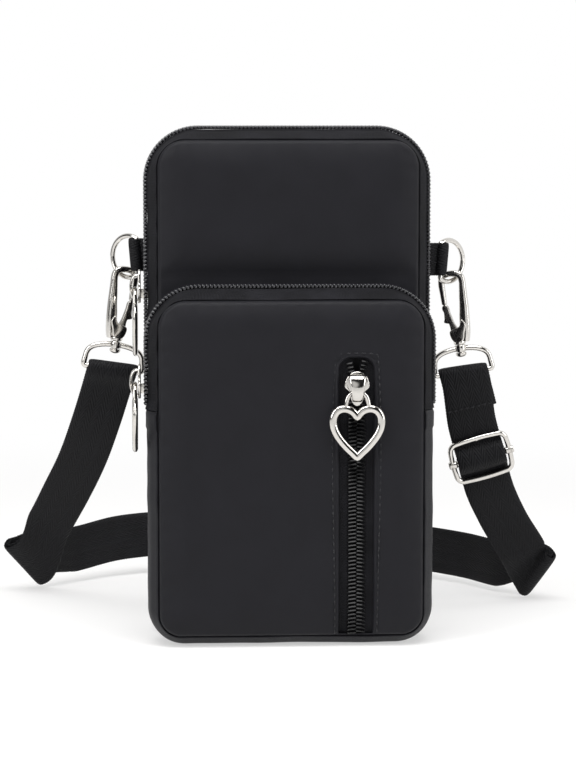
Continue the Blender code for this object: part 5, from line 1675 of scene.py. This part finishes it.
@dataclass
class Strap:
    """The webbing strap, from eye to eye round the back, with its adjuster."""

    left: SideHardware
    right: SideHardware
    width: float = 18.6
    wall: float = 1.2
    layer_step: float = 1.6
    fold_radius: float = 1.9
    spread: float = 100.0
    back_reach: float = 100.0
    tail_length: float = 15.4
    seam_reach: float = 35.6
    tail_slip: float = 1.2
    tail_layer: float = 1.4
    stitch_pitch: float = 2.25
    stitch_length: float = 1.5
    thread_radius: float = 0.36
    adjuster_wire: float = 1.7
    adjuster_length: float = 18.0
    adjuster_corner: float = 3.0
    adjuster_side_clear: float = 0.8
    adjuster_bar: float = 1.8
    knob_diameter: float = 3.4
    adjuster_plane: float = 3.4
    adjuster_place: tuple[float, float, float] = (0.755, 0.255, 0.625)
    right_drop: tuple = ((0.855, 0.36, 0.37), (0.95, 0.445, 0.215))
    right_fold: tuple = ((1.086, 0.45, 0.19), (0.995, 0.58, 0.016))
    rear_run: tuple = (
        (0.88, 0.72, 0.116), (0.78, 0.88, 0.12), (0.64, 1.01, 0.126), (0.4, 1.14, 0.14), (0.12, 1.21, 0.156),
        (-0.2, 1.235, 0.168), (-0.46, 1.2, 0.17), (-0.66, 1.125, 0.162), (-0.82, 1.01, 0.14))
    left_fold: tuple = ((-1.096, 0.76, 0.19), (-0.966, 0.88, 0.016))
    left_drop: tuple = ((-0.915, 0.68, 0.3), (-0.84, 0.555, 0.45), (-0.775, 0.435, 0.59), (-0.715, 0.3, 0.76))
    weave_front: tuple = (
        (-0.72, -0.1), (-0.47, -0.1), (-0.367, -0.075), (-0.272, 0.0), (-0.189, 0.112), (-0.089, 0.18),
        (0.0, 0.205), (0.089, 0.18), (0.189, 0.112), (0.272, 0.0), (0.367, -0.075), (0.47, -0.1),
        (0.72, -0.1))
    weave_rear: tuple = (
        (0.72, -0.19), (0.444, -0.19), (0.35, -0.17), (0.25, -0.085), (0.165, 0.02), (0.085, 0.088),
        (0.0, 0.114), (-0.081, 0.081), (-0.114, 0.0), (-0.081, -0.081), (0.0, -0.114), (0.15, -0.17),
        (0.3, -0.265), (0.444, -0.285), (0.7, -0.285))

    @property
    def bar_radius(self) -> float:
        """Distance of the webbing's middle from the middle of an eye's bar."""
        return self.left.eye_wire / 2 + SIZES.gap + self.wall / 2

    def at(self, shares: tuple) -> Array:
        """Return places of the route from shares of its spread and its reach."""
        return np.asarray(shares, dtype=float) * (self.spread, self.back_reach, self.back_reach)

    def crease(self, corners: tuple) -> Array:
        """Return the direction along a crease, from its outer to its low corner."""
        return unit(self.at(corners[1]) - self.at(corners[0]))

    def fold(self, before: Array, corners: tuple) -> Array:
        """Fold the doubled webbing back over a slanting crease.

        Args:
            before: The middle of the run that comes in.
            corners: Shares of the crease's outer and low corner.

        Returns:
            Rungs round the crease, a half circle.
        """
        outer, low = self.at(corners)
        middle = (outer + low) / 2
        half = (low - outer) / 2
        across = unit(half)
        travel = unit(middle - before)
        onward = unit(travel - across * (travel @ across))
        front = unit(np.cross(onward, across))
        centre = middle - (front + onward) * self.fold_radius
        places = centre + around(front, onward) * self.fold_radius
        return np.stack((places - half, places + half), axis=1)

    def rung(self, place: Array, across: Array) -> Array:
        """Return a rung of the full width about a place, or one about each of several."""
        half = across * self.width / 2
        return np.stack((place - half, place + half), axis=-2)

    def turning(self, places: Array, start: Array, end: Array, power: float) -> Array:
        """Return rungs about places whose direction turns from one to another.

        Args:
            places: Middles of the rungs.
            start: Direction across the webbing before the first.
            end: Direction across it after the last.
            power: Above 1 for a turn near the end, below 1 for one near the start.

        Returns:
            Rungs, (count, 2, 3).
        """
        share = ((np.arange(len(places)) + 1) / (len(places) + 1))[:, None] ** power
        return self.rung(places, unit(start * (1 - share) + end * share))

    def base(self, left_bar: Array) -> Array:
        """Return the doubled strap's middle rungs from the left eye to the adjuster's lower side.

        Args:
            left_bar: Middle of the left eye's bar.

        Returns:
            Rungs, (count, 2, 3).
        """
        left, rear, right = (
            self.at(places)[::-1] for places in (self.left_drop, self.rear_run, self.right_drop))
        start = -self.left.eye_place.x_way
        first = left_bar + unit(left[0] - left_bar) * self.left.eye_drop * 0.8
        return np.concatenate((
            self.rung(first[None], start), self.turning(left, start, self.crease(self.left_fold), 3),
            self.fold(left[-1], self.left_fold), self.rung(rear, np.array((0, 0, -1.0))),
            self.fold(rear[-1], self.right_fold),
            self.turning(right, self.crease(self.right_fold), -self.right.eye_place.x_way, 0.3)))

    def shifted(self, rungs: Array, offset: float) -> Array:
        """Move rungs along their own normals.

        Args:
            rungs: Rungs, (count, 2, 3).
            offset: How far they move.

        Returns:
            The moved rungs.
        """
        middle = rungs.mean(axis=1)
        along = np.concatenate((
            middle[1:2] - middle[:1], middle[2:] - middle[:-2], middle[-1:] - middle[-2:-1]))
        normal = unit(np.cross(along, rungs[:, 1] - rungs[:, 0]))
        return rungs + normal[:, None] * offset

    def over_bar(self, hardware: SideHardware, up: Array) -> Array:
        """Turn the webbing over an eye's bar.

        Args:
            hardware: The side whose eye it is.
            up: Direction away from the run.

        Returns:
            Rungs on a half circle, from the front.
        """
        across = -hardware.eye_place.x_way
        out = frontward(np.cross(across, up))
        return self.rung(hardware.eye_bar + around(out, up) * self.bar_radius, across)

    def build(self) -> dict[str, Piece]:
        """Make the webbing, its sewn tail line and the adjuster.

        Returns:
            Objects by what they are.
        """
        left_bar, right_bar = self.left.eye_bar, self.right.eye_bar
        base = self.base(left_bar)
        front = self.shifted(base, self.layer_step / 2)
        rear = self.shifted(base, -self.layer_step / 2)
        down = unit(self.at(self.right_drop[0]) - right_bar)
        across = self.right.eye_place.x_way
        across = unit(across - down * (across @ down))
        facing = frontward(np.cross(across, down))
        centre = self.at(self.adjuster_place) + facing * self.adjuster_plane

        def weave(shares: tuple) -> Array:
            """Return rungs through the adjuster from places down and out of its plane."""
            along, out = np.array(shares).T[..., None]
            return self.rung(centre + (down * along + facing * out) * self.adjuster_length, -across)

        left_turn = self.over_bar(self.left, unit(left_bar - self.at(self.left_drop[-1])))
        right_turn = self.over_bar(self.right, -down)
        woven = weave(self.weave_front)
        run = woven[0] - right_turn[0]
        run = run * self.tail_length / np.linalg.norm(run.mean(axis=0))
        share = np.array((1.0, 0.75, 0.5))[:, None, None]
        drift = self.tail_layer + (2 * self.bar_radius - self.tail_layer) * (1 - share) ** 2
        tail = right_turn[0] + (run + self.right.eye_place.x_way * self.tail_slip) * share - facing * drift
        grid, uv = ribbon(np.concatenate((
            tail, right_turn[::-1], woven, front[::-1], left_turn, rear, weave(self.weave_rear),
        )), self.wall, 0.55, 0.1, 0.12)
        strap = Draft("herringbone_strap").add(grid, uv=uv).finish()
        seam = self.tail_seam(grid, uv, facing)
        return {"strap": strap, "seam": seam, **self.adjuster(Place(centre, across, facing, down))}

    def tail_seam(self, grid: Array, uv: Array, out: Array) -> Piece:
        """Sew the strap's tail to the front run with a line of coarse stitches.

        Args:
            grid: The strap's rings of points.
            uv: Its pattern coordinates, across and along.
            out: Direction out of its front face.

        Returns:
            The stitches.
        """
        # Points 0 and 12 of a ring are the webbing's edges, 6 and 18 the middles of its faces
        row = int(np.searchsorted(uv[:, 0, 1], self.seam_reach))
        middle = max((grid[row, 6], grid[row, 18]), key=lambda point: float(point @ out))
        across = unit(grid[row, 12] - grid[row, 0])
        down = unit(grid[row + 3, 6] - grid[row, 6])
        spots = (np.arange(8) - 3.5)[:, None] * self.stitch_pitch
        spots = spots + np.linspace(-0.5, 0.5, 5) * self.stitch_length
        line = middle + out * 0.08 + across * spots[..., None]
        return Draft("tail_stitches").add(stitch_bars(line, self.thread_radius, 0.85, down, out)).finish()

    def adjuster(self, place: Place) -> dict[str, Piece]:
        """Bend the adjuster's wire frame and set the bar that slides on its sides.

        Args:
            place: Its frame: across the strap, out of its face, and down it.

        Returns:
            The frame and the bar.
        """
        width = self.width + self.adjuster_side_clear * 2 + self.adjuster_wire
        height = self.adjuster_length - self.adjuster_wire
        radius = self.adjuster_corner
        corners = []
        for quarter in range(4):
            middle = np.array((
                (width / 2 - radius) * (1 if quarter in (0, 3) else -1), 0,
                (height / 2 - radius) * (1 if quarter < 2 else -1)))
            spin = HALF_TURN / 2 + quarter * pi / 2
            corners.append(middle + radius * points_of(np.cos(spin), 0.0, np.sin(spin)))
        line = smooth_line(np.concatenate(corners), 0.35, closed=True)
        wire = tube(place.at(line), place.y_way, self.adjuster_wire / 2 + 0.15, 20, closed=True, power=0.85)
        made = {"frame": Draft("adjuster_wire_frame").add(wire, closed=True)}
        joint = Place(
            place.at((0, 0, -height / 2)), place.z_way, place.y_way, place.x_way)
        sleeve = rounded_ends(self.adjuster_wire / 2 + 0.12, -0.35, 0.35, 0.1)
        made["frame"].add(lathe(joint, sleeve, 20))
        cross = Place(place.origin, place.z_way, place.y_way, place.x_way)
        bar = Draft("adjuster_cross_bar")
        reach = width / 2 - self.adjuster_wire / 2 - SIZES.gap - 0.1
        bar.add(lathe(cross, rounded_ends(self.adjuster_bar / 2, -reach, reach, 0.1), 20))
        low, high = width / 2 - 1.5, width / 2 + 1.9
        knob = rounded_ends(self.knob_diameter / 2 - 0.25, low, high, 0.5)
        waist = np.array(((1.45, 0.45), (1.12, 0.55), (1.12, 0.85), (1.45, 0.95)))
        waist[:, 1] += width / 2
        knob = np.concatenate((knob[:6], waist, knob[6:]))
        for side in (-1, 1):
            bar.add(lathe(cross, knob * (1, side), 24))
        made["bar"] = bar
        return {key: draft.finish() for key, draft in made.items()}


@dataclass
class Studio:
    """The floor, the lamps, the pale surroundings and the camera."""

    camera_place: tuple[float, float, float] = (-46.47, -919.08, 188.24)
    camera_yaw: float = 0.0509
    camera_pitch: float = 0.1037
    lens: float = 116.7
    sensor: float = 36.0
    floor_reach: float = 2.6
    floor_shade: str = "f2f1f0"
    fade_start: float = 0.16
    fade_end: float = 0.6
    shadow_share: float = 0.5
    room_strength: float = 0.42
    front_way: tuple[float, float, float] = (-0.2, -0.96, 0.2)
    right_way: tuple[float, float, float] = (0.9, 0.0, 0.44)
    dark_band_strength: float = 0.02
    window_strength: float = 0.75
    left_share: float = 0.5

    def floor(self) -> None:
        """Lay the floor: pale, with the object's shadow, whitened with distance for the camera."""
        reach = self.floor_reach
        mesh = bpy.data.meshes.new("studio_floor")
        corners = [(-reach, -reach, 0), (reach, -reach, 0), (reach, reach, 0), (-reach, reach, 0)]
        mesh.from_pydata(corners, [], [(0, 1, 2, 3)])
        floor = linked("studio_floor", mesh)
        material = bpy.data.materials.new("matt_paper")
        material.use_nodes = True
        tree = material.node_tree
        shader = tree.nodes["Principled BSDF"]
        shader.inputs["Base Color"].default_value = to_linear(self.floor_shade)
        shader.inputs["Roughness"].default_value = 0.9
        shader.inputs["Specular IOR Level"].default_value = 0.1
        where = add_node(tree, "TexCoord")
        far = add_node(tree, "VectorMath", {0: where.outputs["Object"]}, operation="LENGTH")
        fade = add_node(tree, "MapRange", {
            "Value": far.outputs["Value"], "From Min": self.fade_start, "From Max": self.fade_end,
            "To Min": self.shadow_share, "To Max": 1.0}, **SMOOTH)
        seen = self.seen(tree)
        share = add_node(tree, "Math", {0: fade.outputs["Result"], 1: seen}, operation="MULTIPLY")
        white = add_node(tree, "Emission", {"Color": (1, 1, 1, 1), "Strength": 1.0})
        mixed = add_node(tree, "MixShader", {
            0: share.outputs[0], 1: shader.outputs["BSDF"], 2: white.outputs["Emission"]})
        tree.links.new(mixed.outputs[0], tree.nodes["Material Output"].inputs["Surface"])
        mesh.materials.append(material)

    def seen(self, tree: Tree) -> bpy.types.NodeSocket:
        """Tell camera, glossy and transmission rays from light on the object.

        Args:
            tree: The node tree of the floor or the room.

        Returns:
            The output that is one for these rays and nothing for others.
        """
        path = add_node(tree, "LightPath")
        first = add_node(tree, "Math", {
            0: path.outputs["Is Camera Ray"], 1: path.outputs["Is Glossy Ray"]}, operation="MAXIMUM")
        return add_node(tree, "Math", {
            0: first.outputs[0], 1: path.outputs["Is Transmission Ray"]}, operation="MAXIMUM").outputs[0]

    def room(self) -> None:
        """Fill the room with pale light, white to the camera and in metal but for a dark band in front."""
        world = bpy.data.worlds.new("studio_room")
        bpy.context.scene.world = world
        world.use_nodes = True
        tree = world.node_tree
        dim = tree.nodes["Background"]
        dim.inputs["Color"].default_value = to_linear("f4f3f2")
        dim.inputs["Strength"].default_value = self.room_strength
        where = add_node(tree, "TexCoord")
        front = add_node(tree, "VectorMath", {
            0: where.outputs["Generated"], 1: self.front_way}, operation="DOT_PRODUCT")
        window = add_node(tree, "MapRange", {
            "Value": front.outputs["Value"], "From Min": 0.93, "From Max": 0.985,
            "To Min": self.dark_band_strength, "To Max": self.window_strength}, **SMOOTH)
        beside = add_node(tree, "MapRange", {
            "Value": front.outputs["Value"], "From Min": 0.32, "From Max": 0.05,
            "To Min": 0.0, "To Max": 1.0}, **SMOOTH)
        lit = add_node(tree, "Math", {
            0: window.outputs["Result"], 1: beside.outputs["Result"]}, operation="MAXIMUM")
        sideways = add_node(tree, "VectorMath", {
            0: where.outputs["Generated"], 1: self.right_way}, operation="DOT_PRODUCT")
        dull_left = add_node(tree, "MapRange", {
            "Value": sideways.outputs["Value"], "From Min": -0.7, "From Max": 0.2,
            "To Min": self.left_share, "To Max": 1.0}, **SMOOTH)
        shaded = add_node(tree, "Math", {
            0: lit.outputs[0], 1: dull_left.outputs["Result"]}, operation="MULTIPLY")
        path = add_node(tree, "LightPath")
        strength = add_node(tree, "Math", {
            0: path.outputs["Is Camera Ray"], 1: shaded.outputs[0]}, operation="MAXIMUM")
        white = add_node(tree, "Background", {
            "Color": (1, 1, 1, 1), "Strength": strength.outputs[0]})
        mixed = add_node(tree, "MixShader", {
            0: self.seen(tree), 1: dim.outputs[0], 2: white.outputs[0]})
        tree.links.new(mixed.outputs[0], tree.nodes["World Output"].inputs["Surface"])

    def lamp(self, name: str, place: tuple, aim: tuple, size: tuple[float, float], power: float) -> None:
        """Hang a soft rectangular lamp.

        Args:
            name: The lamp's name.
            place: Where it hangs, in metres.
            aim: What it points at, in metres.
            size: Its width and height, in metres.
            power: Its power in watts.
        """
        light = bpy.data.lights.new(name, "AREA")
        light.shape = "RECTANGLE"
        light.size, light.size_y = size
        light.energy = power
        lamp = linked(name, light)
        lamp.location = place
        back = unit(np.asarray(place) - np.asarray(aim))
        lamp.rotation_euler = (float(np.arccos(back[2])), 0.0, float(np.arctan2(back[0], -back[1])))

    def camera(self) -> None:
        """Set the camera where the photograph's was."""
        data = bpy.data.cameras.new("photo_camera")
        data.sensor_fit = "VERTICAL"
        data.sensor_height = self.sensor
        data.lens = self.lens
        data.clip_start = 0.01
        camera = linked("photo_camera", data)
        camera.location = np.asarray(self.camera_place) * MM
        camera.rotation_euler = (pi / 2 - self.camera_pitch, 0.0, -self.camera_yaw)
        bpy.context.scene.camera = camera

    def build(self) -> None:
        """Set up the whole studio."""
        self.camera()
        self.floor()
        self.room()
        self.lamp("left_softbox", (-0.75, -0.55, 0.5), (0, 0, 0.09), (0.4, 0.7), 4.5)
        self.lamp("right_softbox", (0.8, -0.45, 0.4), (0, 0, 0.09), (0.3, 0.7), 3.5)
        self.lamp("top_softbox", (-0.05, -0.35, 0.9), (0, 0, 0.08), (0.9, 0.5), 10.0)
        bpy.context.scene.view_settings.view_transform = "Standard"


@dataclass
class Bag:
    """The whole bag: its parts in order, dressed and riding on their bodies."""

    finishes: Finishes = field(default_factory=Finishes)

    def compartments(self) -> None:
        """Make and dress both zipped compartments."""
        for compartment in (
            Compartment("main", SIZES.main_height, 0.0, SIZES.main_depth, SIZES.main_slider_z),
            Compartment(
                "front", SIZES.front_height, SIZES.front_middle_y, SIZES.front_depth, SIZES.front_slider_z),
        ):
            for node, obj in compartment.build().items():
                finish = NYLON
                if "tape" in node:
                    finish = TAPE
                if "coil" in node:
                    finish = COIL
                self.finishes.dress(obj, finish, "bag", node)

    def panels(self) -> Panel:
        """Make and dress the three panels.

        Returns:
            The slotted front panel.
        """
        rear_y = SIZES.main_depth / 2 + SIZES.gap
        front = Panel(
            "front_slotted_panel", SIZES.front_height, SIZES.front_rim_y, -1, SIZES.front_crown,
            SIZES.bulge, 3, slotted=True)
        fold = SIZES.front_height + SIZES.bulge
        for panel, node in (
            (Panel("rear_cloth_panel", SIZES.main_height, rear_y, 1, SIZES.rear_crown, SIZES.bulge, 1),
             "rear_panel"),
            (Panel("main_cloth_panel", SIZES.main_height, -rear_y, -1, SIZES.upper_crown, fold, 2),
             "main_front_panel"),
            (front, "front_panel"),
        ):
            obj = self.finishes.dress(panel.build(), NYLON, "bag", node)
        return front

    def slot_zip(self, panel: Panel) -> None:
        """Make and dress the slot pocket's zip and stitches.

        Args:
            panel: The front panel.
        """
        zip_maker = SlotZip()
        for side, word in ((-1, "left"), (1, "right")):
            self.finishes.dress(zip_maker.tape(side, word), TAPE, "bag", f"slot_zip_tape_{word}")
            self.finishes.dress(zip_maker.coil(side, word), SHADED_SLOT_COIL, "bag", f"slot_zip_coil_{word}")
        self.finishes.dress(zip_maker.stitches(panel), THREAD, "bag")

    def linings(self) -> None:
        """Make and dress both linings and the slot pocket's bag."""
        half, low, high = SIZES.seam_half - 3.0, SIZES.bulge + 0.6, SIZES.bulge + 8.0
        front_y = float(SIZES.slot_sheet_y(SIZES.slot_high)) + SIZES.gap + 0.6 + 2.4
        for name, node, centre, width, top, front, rear, seed in (
            ("main_cloth_lining", "main_lining", 0.0, half, SIZES.main_height - high, -9.4, 9.4, 21),
            ("front_cloth_lining", "front_lining", 0.0, half, SIZES.front_height - high,
             front_y + 3.5, SIZES.front_rear_y - 0.6, 22),
            ("slot_cloth_pocket", "slot_pocket_bag", SIZES.slot_centre, 13.65,
             SIZES.slot_high, front_y, front_y + 3.2, 23),
        ):
            bag = soft_tub(name, centre, width, low, top, front, rear, 0.6, seed)
            self.finishes.dress(bag, LINING, "bag", node)

    def sliders(self) -> None:
        """Make and dress the three sliders and their heart pulls."""
        crest = -SIZES.seam_half - SIZES.bulge
        slot_y = float(SIZES.slot_sheet_y(SIZES.slot_slider_z)) + SIZES.gap
        for name, origin, turn in (
            ("main", (crest, 0.0, SIZES.main_slider_z), -pi / 2),
            ("front", (crest, SIZES.front_middle_y, SIZES.front_slider_z), -pi / 2),
            ("slot", (SIZES.slot_centre, slot_y, SIZES.slot_slider_z), 0.0),
        ):
            slider = Slider(name, origin, turn, name != "slot")
            self.finishes.dress(slider.body(), NICKEL, f"{name}_runner", f"{name}_slider")
            self.finishes.dress(slider.heart(), NICKEL, f"{name}_heart", f"{name}_pull")

    def hardware(self) -> tuple[SideHardware, SideHardware]:
        """Make and dress both sides' tabs, rings, hooks, gates and eyes.

        Returns:
            The left and the right hardware.
        """
        sides = (SideHardware(LEFT, "left", 7.75, 139.2), SideHardware(RIGHT, "right", 10.65, 137.2))
        for hardware in sides:
            word, dress = hardware.word, self.finishes.dress
            tab, stitches = hardware.tab()
            dress(tab, WEBBING, "bag", f"{word}_tab")
            dress(stitches, THREAD, "bag")
            dress(hardware.ring(), NICKEL, f"{word}_ring", f"{word}_d_ring")
            dress(hardware.hook(), NICKEL, f"{word}_snap", f"{word}_hook")
            dress(hardware.pin(), GATE_NICKEL, f"{word}_snap", f"{word}_gate_pin")
            dress(hardware.gate(), GATE_NICKEL, f"{word}_latch", f"{word}_gate")
            dress(hardware.eye(), NICKEL, "strap", f"{word}_swivel_eye")
        return sides

    def strap(self, left: SideHardware, right: SideHardware) -> None:
        """Make and dress the strap and its adjuster.

        Args:
            left: The left side's hardware.
            right: The right side's.
        """
        made, dress = Strap(left, right).build(), self.finishes.dress
        dress(made["strap"], WEBBING, "strap", "strap_webbing")
        dress(made["seam"], THREAD, "strap")
        dress(made["frame"], NICKEL, "strap", "adjuster_frame")
        dress(made["bar"], NICKEL, "strap", "adjuster_bar")

    def build(self) -> None:
        """Make every piece in order."""
        self.compartments()
        panel = self.panels()
        self.slot_zip(panel)
        self.linings()
        self.sliders()
        self.strap(*self.hardware())


def main() -> None:
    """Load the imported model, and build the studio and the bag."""
    logging.basicConfig(level=logging.INFO, format="%(message)s")
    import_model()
    Studio().build()
    Bag().build()


if __name__ == "__main__":
    main()
